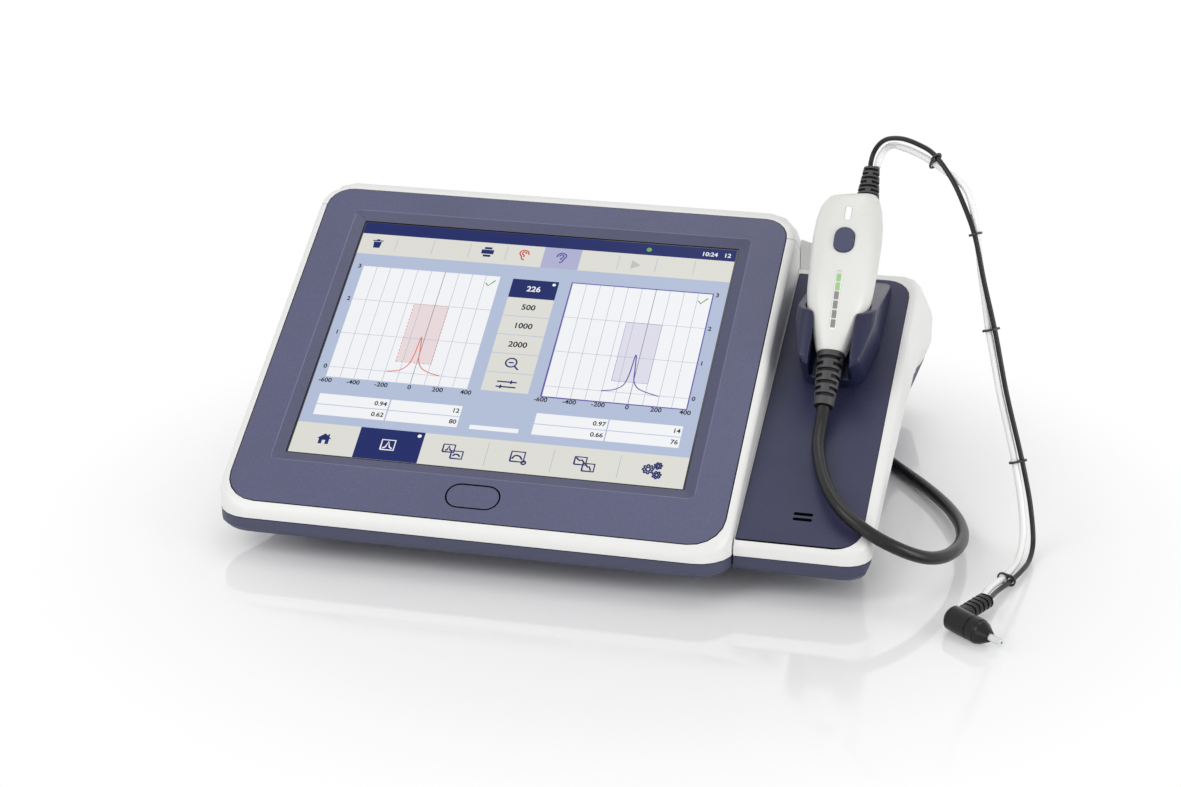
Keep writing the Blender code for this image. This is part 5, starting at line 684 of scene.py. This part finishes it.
left_levels, right_levels = (58.3, 82.3, 106.4, 130.2), (58.1, 82.1, 106.0, 129.6)
left_zero, right_zero = 53.5, 171.6
left_columns = [6.6 + 7.8 * k for k in range(1, 10) if k != 6]
right_columns = [right_zero + 7.7 * k for k in range(-6, 4) if k != 0]
left_range, right_range = (41.8, 65.6, 61.4, 106.4), (159.9, 65.4, 179.4, 105.8)
fields = [bar(*left_graph), bar(*right_graph), bar(91.9, 25.4, 118.2, 28.2)]
for v0, v1 in ((32.9, 39.8), (25.6, 32.4)):
    for u0, u1 in ((6.6, 45.5), (46.3, 85.2), (125.3, 163.6), (164.3, 203)):
        fields.append(bar(u0, v0, u1, v1))
filled("screen_white_fields", fields, 2, page_white)
u0, v0, u1, v1 = right_graph
drawn("screen_violet_frame", [closed(bar(u0 - 0.4, v0 - 0.4, u1 + 0.4, v1 + 0.4))], 0.8, 3, violet)
filled("screen_range_left", [bar(*left_range)], 3, rose)
filled("screen_range_right", [bar(*right_range)], 3, lilac_pale)
grid, zero_lines = [], []
for (u0, v0, u1, v1), levels, columns, zero in (
    (left_graph, left_levels, left_columns, left_zero),
    (right_graph, right_levels, right_columns, right_zero),
):
    grid += [[(u, v0), (u, v1)] for u in columns] + [[(u0, v), (u1, v)] for v in levels[:3]]
    zero_lines.append([(zero, v0), (zero, v1)])
grid += [[(TOOL_WIDE * k, 142.6), (TOOL_WIDE * k, 152.8)] for k in range(1, 10) if k not in (5, 6)]
grid += [[(KEY_WIDE * k, 2.5), (KEY_WIDE * k, 17.5)] for k in (3, 4, 5)]
drawn("screen_grid", grid, 0.28, 4, line_grey)
drawn("screen_zero_lines", zero_lines, 0.32, 5, line_dark)
u0, v0, u1, v1 = left_range
dashes = [[(u, v), (u + 1.4, v)] for v in (v0, v1) for u in [u0 + 2.45 * k for k in range(8)]]
dashes += [[(u, v), (u, v + 1.4)] for u in (u0, u1) for v in [v0 + 2.4 * k for k in range(17)]]
drawn("screen_range_dashes", dashes, 0.32, 5, salmon)
drawn("screen_range_edge", [closed(bar(*right_range))], 0.32, 5, soft_blue)


def eased(points):
    """A curve through measured points, drawn smooth."""
    return [(spot.x, spot.y) for spot in smooth_route([(u, v, 0) for u, v in points], 0.5)]


left_curve = [
    (38.5, 58.3), (45.5, 60), (49, 63.7), (50.6, 70), (51.7, 83.8), (53, 75.5), (54.3, 67), (56.8, 62.6),
    (61.3, 60), (68, 58.3),
]
right_curve = [
    (155.7, 58.1), (162.7, 59.8), (166.6, 63.1), (168.3, 69.9), (169.4, 84.6), (170.9, 73.3), (171.9, 66),
    (174.5, 62), (178.5, 60), (186.6, 57.7),
]
drawn("screen_left_curve", [eased(left_curve)], 0.6, 6, salmon)
drawn("screen_right_curve", [eased(right_curve)], 0.6, 6, violet)
numbers = [(str(n), 5.4, v, "RIGHT") for n, v in enumerate(left_levels)]
numbers += [(str(n), 204, v, "LEFT") for n, v in enumerate(right_levels)]
for u, step, v in ((6.9, 15.55, 48.9), (125.3, 15.4, 48.7)):
    numbers += [(str(-600 + 200 * k), u + step * k, v, "CENTER") for k in range(6)]
for u0, u1, upper_left, upper_right, lower_left, lower_right in (
    (44.6, 84.3, "0.94", "12", "0.62", "80"),
    (162.8, 202.2, "0.97", "14", "0.66", "76"),
):
    numbers += [(upper_left, u0, 36.3, "RIGHT"), (upper_right, u1, 36.3, "RIGHT")]
    numbers += [(lower_left, u0, 29, "RIGHT"), (lower_right, u1, 29, "RIGHT")]
figures("screen_scale_figures", numbers, 4.0, 4, figure_dark)
figures("screen_status_figures", [("10:24   12", 207.5, 158.2, "RIGHT")], 4.0, 4, page_white)
pitches = ("500", "1000", "2000")
cell_figures = [(text, CELL_MIDDLE, lows[4 - k] + CELL_HIGH / 2, "CENTER") for k, text in enumerate(pitches)]
figures("screen_cell_figures", cell_figures, 5.2, 4, figure_dark)
figures("screen_cell_chosen", [("226", CELL_MIDDLE, 123.4, "CENTER")], 5.2, 4, page_white)
filled("screen_green_dot", [disc(162.2, 158.3, 1.5)], 5, green)
ticks = [[(u - 2.4, v), (u - 0.8, v - 1.9), (u + 2.6, v + 2.2)] for u, v in ((80, 125.3), (197.8, 124.8))]
drawn("screen_ticks", ticks, 0.8, 5, green)
filled("screen_white_dots", [disc(67.3, 17.6, 1.1), disc(115.4, 127.7, 1.0)], 4, page_white)
bin_body = [(8.2, 144.4), (11.8, 144.4), (12.3, 148.9), (7.7, 148.9)]
marks = [bin_body, bar(7.0, 149.3, 13.0, 150.0), bar(9, 150.0, 11, 150.7)]
marks += [bar(69.8, 146.3, 76.8, 149.3), bar(71.2, 149.7, 75.4, 151.2), bar(71.2, 144.2, 75.4, 145.7)]
filled("screen_tool_marks", marks, 2, navy)
filled("screen_play_mark", [[(154.4, 143.6), (154.4, 149.8), (159.6, 146.7)]], 2, symbol_grey)


def shifted(lines, u, v):
    """A symbol's lines, moved to their place in the row."""
    return [[(u + a, v + b) for a, b in line] for line in lines]


def sized(line, wide, high):
    """A symbol's line with its width and height changed by these shares."""
    return [(a * wide, b * high) for a, b in line]


def ring(radius, count=14):
    """A closed circle of points."""
    return closed(disc(0, 0, radius, count))


def cog(radius, teeth=8):
    """A closed outline of a gear wheel."""
    points = []
    for k in range(teeth * 4 + 1):
        reach = radius if k % 4 < 2 else radius * 0.74
        points.append((reach * math.cos(math.tau * k / teeth / 4), reach * math.sin(math.tau * k / teeth / 4)))
    return points


outer_ear = [
    (-0.7, -3.2), (0.4, -3.3), (1.1, -2.2), (1.5, -0.8), (2.4, 0.4), (2.6, 1.8), (1.8, 3.0), (0.2, 3.5),
    (-1.4, 3.0), (-2.3, 1.8), (-2.5, 0.4),
]
inner_ear = [(-1.2, 1.0), (-0.7, 2.1), (0.5, 2.3), (1.2, 1.3), (0.6, 0.3), (-0.1, -0.4), (0.1, -1.5)]
ear = [eased(outer_ear), eased(inner_ear)]
drawn("screen_ear_mark", shifted([sized(line, -1, 1) for line in ear], 94.2, 147.4), 0.75, 4, salmon_dark)
drawn("screen_ear_mark_chosen", shifted(ear, 115.1, 147.4), 0.75, 4, violet)
box_lines = closed(bar(-3.6, -3.2, 3.6, 3.2))
small_box = sized(box_lines, 0.86, 0.76)
peak = [(-2.6, -2.2), (-1.1, -1.4), (0, 2.2), (1.1, -1.4), (2.6, -2.2)]
wave = [(-2.8, -1.6), (-1.7, 0.4), (-0.4, 0.8), (1.3, 0.2), (2.7, -1.7)]
slant = [(-2.6, 1.8), (-0.6, 0.2), (0.8, 0.6), (2.6, -1.8)]
house = [(-3.9, 0.3), (0, 3.7), (1.6, 2.3), (1.6, 3.3), (2.5, 3.3), (2.5, 1.5), (3.9, 0.3), (2.8, 0.3), (2.8, -3.2)]
house += [(0.9, -3.2), (0.9, -0.7), (-0.9, -0.7), (-0.9, -3.2), (-2.8, -3.2), (-2.8, 0.3)]
filled("screen_house", shifted([house], 17.1, 10), 3, navy)
symbols = []
for lines, u, v in (
    ([small_box, sized(peak, 0.7, 0.7)], 84.6, 11.6),
    ([small_box, sized(wave, 0.7, 0.6)], 89.6, 7.8),
    ([box_lines, wave], 121.6, 10.4),
    ([ring(1.1)], 125.4, 6.9),
    ([small_box, slant], 154.6, 11.6),
    ([small_box, sized(slant, 0.6, 1)], 159.4, 7.8),
    ([cog(2.9), ring(1.2)], 190.2, 10.4),
    ([cog(2.1, 7), ring(0.8)], 195.0, 13.0),
    ([cog(2.3, 7), ring(0.9)], 195.2, 7.2),
):
    symbols += shifted(lines, u, v)
drawn("screen_row_symbols", symbols, 0.95, 4, navy)
drawn("screen_row_chosen", shifted([box_lines, peak], 52, 10), 0.8, 4, page_white)
glass = shifted([ring(3.0)], 104.2, 71.6) + [[(106.4, 69.4), (108.8, 67.0)], [(102.8, 71.6), (105.6, 71.6)]]
sliders = [[(99.5, v), (110.3, v)] for v in (55, 58.4)]
sliders += [[(u, v), (u, v + 2.4)] for u, v in ((102, 53.8), (107.2, 57.2))]
drawn("screen_cell_symbols", glass + sliders, 0.9, 4, navy)

# The glass itself: strengthened glass with a black painted border round the lit picture. It lies in
# the recess of the inlay on a foam seal, two millimetres below the inlay's own surface.
glass_rim, glass_surface, place = blank("touch_glass_rim")
smear = place.noise(30.0, 4.0)
wear(glass_surface, {
    "Base Color": smear.blend((0.010, 0.011, 0.016, 1), (0.016, 0.017, 0.024, 1)),
    "Roughness": 0.05 + smear * 0.08,
})
dressed("touch_glass", "screen_glass", glass_rim, "main", 0.00015)

# Side wing: a white frame with a blue-grey lower shell and an inlay of the same plastic as the face.
# It is screwed to the main unit from below. Two sound slots near its front let the loudspeaker out.
# The wing's inlay takes the face's plastic in a darker tone: painted shade
wing_blue_painted_shade = moulded("wing_inlay_painted_shade_blue", tone(52, 53, 82), 0.44, 900.0, 0.00006, 0.36, 0.3)
tray_blue = moulded("wing_tray_blue", tone(60, 62, 88), 0.46, 1900.0, 0.00004, 0.06)
dressed("wing_frame", "wing_frame_shell", white_shell, "main", 0.0005)
wing_tray = dressed("wing_base", "wing_tray", tray_blue, "main", 0.0008)
# The tray's rim in the joint under the white frame gets painted shade
rim_seamed(wing_tray)
WING_LEANS = 22.6
wing_inlay = dressed("wing_inlay", "wing_face_inlay", wing_blue_painted_shade, "main", 0.0005)
# The wing inlay's edge and walls get painted shade of the joint round it
seamed(wing_inlay, WING_LEANS)

# Probe cradle: a dark blue-grey holder moulded in one piece and screwed to the wing from inside. Two
# lips at its front catch the probe's narrow end, and the slot between them lets the cable through.
def softened(piece, cell, rounds):
    """Rounds every edge of a finished shape: its surface is laid anew in small even cells and relaxed."""
    modified(piece, "REMESH", {"mode": "VOXEL", "voxel_size": cell})
    modified(piece, "SMOOTH", {"factor": 0.5, "iterations": rounds})
    bpy.ops.object.shade_smooth()


cradle_blue = moulded("cradle_blue", tone(34, 36, 66), 0.30, 1500.0, 0.00004, 0.08, 0.35)
cradle = dressed("probe_cradle", "cradle_holder", cradle_blue, "main", 0.0012, 3)
softened(cradle, 0.0006, 8)

# Probe box: two white shells snapped together at a side seam, with a smooth grip face. They carry the
# push button, a small light window above it and the level light below.
probe_white = moulded("probe_white", tone(234, 234, 230), 0.30, 3200.0, 0.000012, 0.01)
PROBE_UP = Vector((0, math.sqrt(0.5), math.sqrt(0.5)))
PROBE_ORIGIN = Vector((0.1319, -0.0274, 0.0936))
TOP_FALL = 0.0034
TOP_FALLS_FROM = 0.0810
TOP_FALLS_OVER = 0.0120
TOP_LEVEL_AT = 0.1459
TOP_FALLS_WIDE = 0.0140
for side in ("front", "back"):
    shell = dressed(f"probe_{side}_shell", f"probe_{side}", probe_white, "probe", 0.0004)
    # The upper end falls a little towards the side away from the boot
    for vertex in shell.data.vertices:
        from_top = (vertex.co - PROBE_ORIGIN).dot(PROBE_UP) - TOP_FALLS_FROM
        near_top = min(1, max(0, from_top / TOP_FALLS_OVER))
        aside = min(1, max(0, (TOP_LEVEL_AT - vertex.co.x) / TOP_FALLS_WIDE))
        vertex.co -= PROBE_UP * (TOP_FALL * near_top * near_top * (3 - 2 * near_top) * aside)
key_blue = moulded("key_blue", tone(66, 68, 96), 0.44, 1200.0, 0.00005, 0.3)
dressed("probe_button", "probe_push_button", key_blue, "probe_key", 0.0003)

# Light windows: clear rods let into the probe's face. The upper one is a plain white light, and the
# level light has six short segments between thin bridges, of which the top two are lit green.
STATUS_REACH, LEVEL_REACH = 0.00135, 0.00125
window_white, window_surface, place = blank("status_window")
cloud = place.noise(300.0, 2.0)
milk = cloud.blend((0.90, 0.91, 0.92, 1), (0.97, 0.97, 0.98, 1))


def rimmed(place, shade, reach, rim):
    """A window's colour, with its rim's colour beyond this reach from the probe's middle."""
    from_middle = place.vector("SUBTRACT", PROBE_ORIGIN)
    across = place.make("ShaderNodeSeparateXYZ", {}, {"Vector": from_middle}, "X")
    return (place.maths("ABSOLUTE", across, 0.0) > reach).blend(shade, rim)


milk = rimmed(place, milk, STATUS_REACH, tone(226, 226, 222))
wear(window_surface, {
    "Base Color": milk,
    "Emission Color": milk,
    "Roughness": 0.12 + cloud * 0.06,
    "Emission Strength": 0.10,
})
status_window = dressed("status_light", "status_window", window_white, "probe", 0.0002)


def middle_of(node):
    """The middle of a solid's box."""
    low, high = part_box(node)
    return (Vector(low) + Vector(high)) / 2


JOINT_ACROSS, JOINT_ALONG = 0.00044, 0.00031


def filled_out(piece, node):
    """Widens a window by the width of its joint, as one that is moulded into its shell."""
    low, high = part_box(node)
    across, along = 1 + JOINT_ACROSS / (high[0] - low[0]), 1 + JOINT_ALONG / (high[2] - low[2])
    alone(piece)
    bpy.ops.object.mode_set(mode="EDIT")
    bpy.ops.mesh.select_all(action="SELECT")
    bpy.ops.transform.resize(value=(across, along, along), center_override=middle_of(node))
    bpy.ops.object.mode_set(mode="OBJECT")


filled_out(status_window, "status_light")

LEVEL_START = 0.0108
LEVEL_LONG = 0.0302
SEGMENTS, UNLIT = 6, 4
level_material, level_surface, place = blank("level_window")
cloud = place.noise(400.0, 2.0)
along = place.vector("SUBTRACT", PROBE_ORIGIN).vector("DOT_PRODUCT", PROBE_UP, "Value")
share = (along - LEVEL_START) * (1 / LEVEL_LONG)
lit = tone(150, 196, 126)
unlit = tone(128, 128, 128)
bridge = tone(214, 214, 210)
pale = tone(238, 238, 234)
stops = [(0.0, pale)]
for k in range(SEGMENTS):
    stops += [(k / SEGMENTS + 0.004, unlit if k < UNLIT else lit), ((k + 0.87) / SEGMENTS, bridge)]
level_colour = place.make("ShaderNodeValToRGB", {"spread": "CONSTANT", "stops": stops}, {"Fac": share})
level_shade = (cloud * 0.15).blend(level_colour, bridge)
level_shade = rimmed(place, level_shade, LEVEL_REACH, pale)
wear(level_surface, {
    "Base Color": level_shade,
    "Emission Color": level_shade,
    "Roughness": 0.15 + cloud * 0.08,
    "Emission Strength": 0.12,
})
level_window = dressed("level_light", "level_window", level_material, "probe", 0.0002)
filled_out(level_window, "level_light")

# Strain reliefs of the probe: soft black rubber boots, moulded on, with staggered slots that let them
# bend. The lower one is round and holds the thick cable, the upper one is flat and holds lead and hose.
boot_rubber = rubbery("boot_rubber", (0.046, 0.046, 0.049), 0.50, 1500.0)
slot_shade = rubbery("boot_slot_shade", (0.002, 0.002, 0.002), 0.70, 1500.0)


def drawn_up(name, levels, sides):
    """A solid drawn up from a disc: each level is its height and its half width along X and along Y."""
    bpy.ops.object.select_all(action="DESELECT")
    bpy.ops.mesh.primitive_circle_add(vertices=sides, radius=1.0, fill_type="NGON", location=(0, 0, 0))
    solid = bpy.context.object
    solid.name = name
    bpy.ops.object.mode_set(mode="EDIT")
    bpy.ops.mesh.select_mode(type="FACE")
    bpy.ops.mesh.select_all(action="SELECT")
    height, wide, deep = levels[0]
    bpy.ops.transform.resize(value=(wide, deep, 1), center_override=(0, 0, 0))
    bpy.ops.transform.translate(value=(0, 0, height))
    for next_height, next_wide, next_deep in levels[1:]:
        bpy.ops.mesh.extrude_region_move(TRANSFORM_OT_translate={"value": (0, 0, next_height - height)})
        bpy.ops.transform.resize(value=(next_wide / wide, next_deep / deep, 1), center_override=(0, 0, next_height))
        height, wide, deep = next_height, next_wide, next_deep
    bpy.ops.mesh.select_all(action="SELECT")
    bpy.ops.mesh.normals_make_consistent(inside=False)
    bpy.ops.object.mode_set(mode="OBJECT")
    return solid


def pressed_in(solid, depth, chosen):
    """Sinks the chosen faces of a solid below its surface; chosen takes a face's centre."""
    bpy.ops.object.mode_set(mode="EDIT")
    bpy.ops.mesh.select_all(action="DESELECT")
    bpy.ops.object.mode_set(mode="OBJECT")
    for face in solid.data.polygons:
        face.select = bool(chosen(face.center))
    bpy.ops.object.mode_set(mode="EDIT")
    bpy.ops.mesh.extrude_region_shrink_fatten(TRANSFORM_OT_shrink_fatten={"value": -depth})
    bpy.ops.object.mode_set(mode="OBJECT")


ROUND_SIDES = 48
NECK = 0.86
SLOT_HALF, SLOT_DEEP = 0.27, 0.2
BRIDGE_HALF = 21


def slotted_boot(name, place, body, ends, sink, rows, span):
    """A tapered boot with two slots in each row, turned a quarter from row to row.

    Its ends are two heights and the half widths at each, and span is the rows' reach between them.
    """
    low, high, wide_low, deep_low, wide_high, deep_high = ends
    first, last = span
    pitch = (last - first) / (rows - 1)
    levels = [(height, wide_low * NECK, deep_low * NECK) for height in (low - sink, low)]
    shares = [0.0005]
    for row in range(rows):
        shares += [first + pitch * (row - SLOT_HALF), first + pitch * (row + SLOT_HALF)]
    for share in shares + [1]:
        wide = wide_low + (wide_high - wide_low) * share
        deep = deep_low + (deep_high - deep_low) * share
        levels.append((low + (high - low) * share, wide, deep))
    boot = drawn_up(name, levels, ROUND_SIDES)

    def in_slot(centre):
        row = ((centre.z - low) / (high - low) - first) / pitch
        number = round(row)
        if abs(row - number) > 0.1 or not 0 <= number < rows:
            return False
        turn = math.degrees(math.atan2(centre.y, centre.x)) % 180
        return (abs(turn - 90) if number % 2 else min(turn, 180 - turn)) > BRIDGE_HALF

    pressed_in(boot, wide_low * SLOT_DEEP, in_slot)
    for face in boot.data.polygons:
        if face.select or abs(face.normal.z) > 0.8:
            face.material_index = 1
    round_edges(boot, 0.00018, 2, 38)
    settled(boot, place, boot_rubber, body)
    boot.data.materials.append(slot_shade)
    return boot


# Each boot stands on its end of the box: its height runs out along the cord
UPPER_BOOT_UP = 0.0898
UPPER_BOOT_ASIDE = Vector((0.0074, 0, 0))
LOWER_BOOT = (0.0003, 0.0295, 0.0073, 0.0071, 0.0051, 0.0051)
UPPER_BOOT = (0, 0.0197, 0.0063, 0.0043, 0.0042, 0.0029)
lower_place = stand(PROBE_ORIGIN, (1, 0, 0), (0, -1, 1))
lower = slotted_boot("lower_boot_rubber", lower_place, "probe", LOWER_BOOT, 0.0040, 7, (0.127, 0.82))
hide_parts("lower_boot")
upper_place = stand(PROBE_ORIGIN + PROBE_UP * UPPER_BOOT_UP + UPPER_BOOT_ASIDE, (1, 0, 0), (0, 1, -1))
upper = slotted_boot("upper_boot_rubber", upper_place, "probe", UPPER_BOOT, 0.0023, 7, (0.125, 0.895))
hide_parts("upper_boot")

# Clips: five small clips of springy black plastic, each moulded as two open hooks that hold the hose
# beside the lead. They can be slid along both.
clip_black = moulded("clip_black", (0.020, 0.020, 0.021), 0.38, 2400.0, 0.00002, 0.1)
CLIP_THINNER = 0.62


def reshaped(piece, middle, change):
    """Changes a piece's shape about a fixed middle."""
    piece.data.transform(Matrix.Translation(middle) @ change @ Matrix.Translation(-middle))


for number in range(1, 6):
    node = f"lead_clip_{number}"
    clip = dressed(node, f"hose_clip_{number}", clip_black, "probe", 0.00015, 2, 40)
    middle = middle_of(node)
    nearest = min(range(1, len(lead_route) - 1), key=lambda k: (lead_route[k] - middle).length)
    along = (lead_route[nearest + 1] - lead_route[nearest - 1]).normalized()
    reshaped(clip, middle, Matrix.Scale(CLIP_THINNER, 4, along))

# Tip: a glossy black elbow with its own ribbed boot, a dome-nosed cap that turns on it, and a clear
# nozzle onto which a fresh ear plug is pushed.
tip_black = moulded("tip_black", (0.008, 0.008, 0.009), 0.16, 2800.0, 0.00001, 0.1, 0.28)
dressed("tip_elbow", "tip_elbow_body", tip_black, "probe", 0.0003, 2, 34)
dressed("tip_cap", "tip_cone", tip_black, "cap", 0.00025, 2, 34)
# The nozzle's edges seen edge on are painted darker: painted shade
nozzle_clear = clear("clear_nozzle", (0.80, 0.82, 0.83), 0.08, 0.62)
nozzle = dressed("tip_nozzle", "tip_clear_nozzle", nozzle_clear, "probe", 0.0002, 2, 34)
TIP_AXIS = Vector((0.766044, -0.642788, 0))
NOZZLE_WIDER = 1.22
wider = Matrix.Scale(NOZZLE_WIDER, 4) @ Matrix.Scale(1 / NOZZLE_WIDER, 4, TIP_AXIS)
reshaped(nozzle, middle_of("tip_nozzle"), wider)

# Rear connections: a pressed steel plate behind the housing with the power inlet, the data port and the
# probe socket, all held by their own nuts and clips on the plate's inside.
def metallic(name, colour, roughness, scale, stretch):
    """Metal with drawn streaks: stretch sets along which axis they run."""
    material, surface, place = blank(name)
    drawn_place = place.make("ShaderNodeMapping", {}, {"Vector": place, "Scale": stretch})
    streak = drawn_place.noise(scale, 4.0)
    cloud = place.noise(40.0, 3.0)
    even = streak * 0.6 + cloud * 0.4
    wear(surface, {
        "Base Color": even.blend(scaled(colour, 0.86), scaled(colour, 1.1)),
        "Roughness": roughness + (streak - 0.5) * 0.2 + (cloud - 0.5) * 0.1,
        "Metallic": 1.0,
        "Normal": streak.relief(0.2, 0.00002),
    })
    return material


plate_steel = metallic("plate_steel_finish", (0.58, 0.58, 0.59), 0.34, 500.0, (0.06, 1, 1))
dark_plastic = moulded("dark_plastic", (0.022, 0.022, 0.024), 0.40, 2000.0, 0.00003, 0.1)
dressed("connector_plate", "rear_plate", plate_steel, "main", 0.0002)
dressed("power_inlet", "power_inlet_body", dark_plastic, "main", 0.0002, 2, 40)
port_metal = metallic("port_metal", (0.62, 0.62, 0.63), 0.25, 700.0, (1, 0.1, 1))
dressed("data_port", "data_port_shield", port_metal, "main", 0.00015)
dressed("probe_socket", "probe_socket_body", dark_plastic, "main", 0.0002, 2, 34)

# Cable plug: a round black plug with a ribbed grip ring and a slotted boot. It sits in the probe
# socket, and the coil of spare cable is held by a tie of woven black strap.
PLUG_PLACE = stand((0.0261, 0.1422, 0.0340), (-1, 0, 0), (0, 0, 1))
PLUG_LEVELS = [
    (-0.0060, 0.0040), (0, 0.0040), (0.00001, 0.0075), (0.0040, 0.0075), (0.0050, 0.0070), (0.0165, 0.0070),
    (0.0175, 0.0075), (0.0210, 0.0075), (0.0218, 0.0066),
]
GRIP_FROM, GRIP_TO = 0.0055, 0.0160
GROOVE_DEEP = 0.0004
plug = drawn_up("cable_plug", [(height, reach, reach) for height, reach in PLUG_LEVELS], ROUND_SIDES)


def in_groove(centre):
    """Every third face round the grip."""
    side = round(math.atan2(centre.y, centre.x) / math.tau * ROUND_SIDES - 0.5)
    return GRIP_FROM < centre.z < GRIP_TO and side % 3 == 0


pressed_in(plug, GROOVE_DEEP, in_groove)
round_edges(plug, 0.0002, 2, 34)
settled(plug, PLUG_PLACE, dark_plastic, "main")
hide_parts("probe_plug")
PLUG_BOOT = (0.0221, 0.0356, 0.0058, 0.0058, 0.0045, 0.0045)
plug_boot = slotted_boot("cable_plug_boot", PLUG_PLACE, "main", PLUG_BOOT, 0.0002, 4, (0.16, 0.80))
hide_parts("plug_boot")
tie = dressed("coil_tie", "cable_tie", clip_black, "main", 0.0002, 2, 34)
measured(cable_route)
measured(lead_route)
measured(hose_route)

# Printer: a white lid in the rear slope with a steel hinge pin, the rubber platen roller below its free
# edge, the print head unit, and a tub that holds the roll of thermal paper.
dressed("printer_lid", "printer_lid_cover", white_shell, "lid", 0.0003)
paper_material, paper_surface, place = blank("thermal_paper")
PAPER_MIDDLE = (-0.0339, 0.081114, 0.093708)
WINDS_PER_METRE = 4000
reach = place.vector("SUBTRACT", PAPER_MIDDLE).vector("MULTIPLY", (0, 1, 1)).length()
winds = place.maths("PINGPONG", reach * WINDS_PER_METRE, 1.0)
fibre = place.noise(900.0, 4.0)
sheet = (winds * 0.5 + fibre * 0.5).blend((0.72, 0.72, 0.69, 1), (0.88, 0.88, 0.86, 1))
wear(paper_surface, {
    "Base Color": sheet,
    "Roughness": 0.66 + fibre * 0.15,
})
dressed("paper_roll", "paper_roll_wound", paper_material, "paper", 0.0002, 2, 34)
platen_rubber = rubbery("platen_rubber", (0.03, 0.03, 0.032), 0.5, 1800.0)
dressed("platen_roller", "platen_roller_rubber", platen_rubber, "platen", 0.0002, 2, 34)

# Hidden parts keep their CAD shapes. Each takes the finish of its own material: bare boards with
# tracks, pressed steel, cast metal, black mouldings and the hose of the air system.
board_material, board_surface, place = blank("circuit_board")
to_edge = {"feature": "DISTANCE_TO_EDGE"}
track = place.make("ShaderNodeTexVoronoi", to_edge, {"Vector": place, "Scale": 260.0}, "Distance") > 0.12
fibre = place.noise(500.0, 3.0)
wear(board_surface, {
    "Base Color": track.blend((0.012, 0.10, 0.045, 1), (0.020, 0.17, 0.075, 1)),
    "Roughness": 0.32 + fibre * 0.16,
    "Normal": track.relief(0.3, 0.00003),
})
cast_metal = metallic("cast_metal", (0.42, 0.43, 0.45), 0.42, 300.0, (1, 1, 1))
screw_steel = metallic("screw_steel_finish", (0.45, 0.45, 0.46), 0.28, 900.0, (1, 1, 0.3))
foot_rubber = rubbery("foot_rubber", (0.020, 0.020, 0.021), 0.62, 1200.0)
finishes = {
    "white_plastic": white_shell, "blue_plastic": blue_shell, "cradle_plastic": cradle_blue,
    "panel_glass": glass_rim, "plate_steel": plate_steel, "screw_steel": screw_steel,
    "board_green": board_material, "black_plastic": dark_plastic, "black_rubber": foot_rubber,
    "grey_metal": cast_metal, "paper_white": paper_material, "light_pipe": window_white,
    "level_pipe": level_material, "clear_plastic": nozzle_clear, "clear_tube": hose_wall,
}
for part in frame["record"]["subparts"]:
    node = frame["nodes"][part["node"]]
    if not node.hide_render:
        node.material_slots[0].material = finishes[part["material_slot"]]
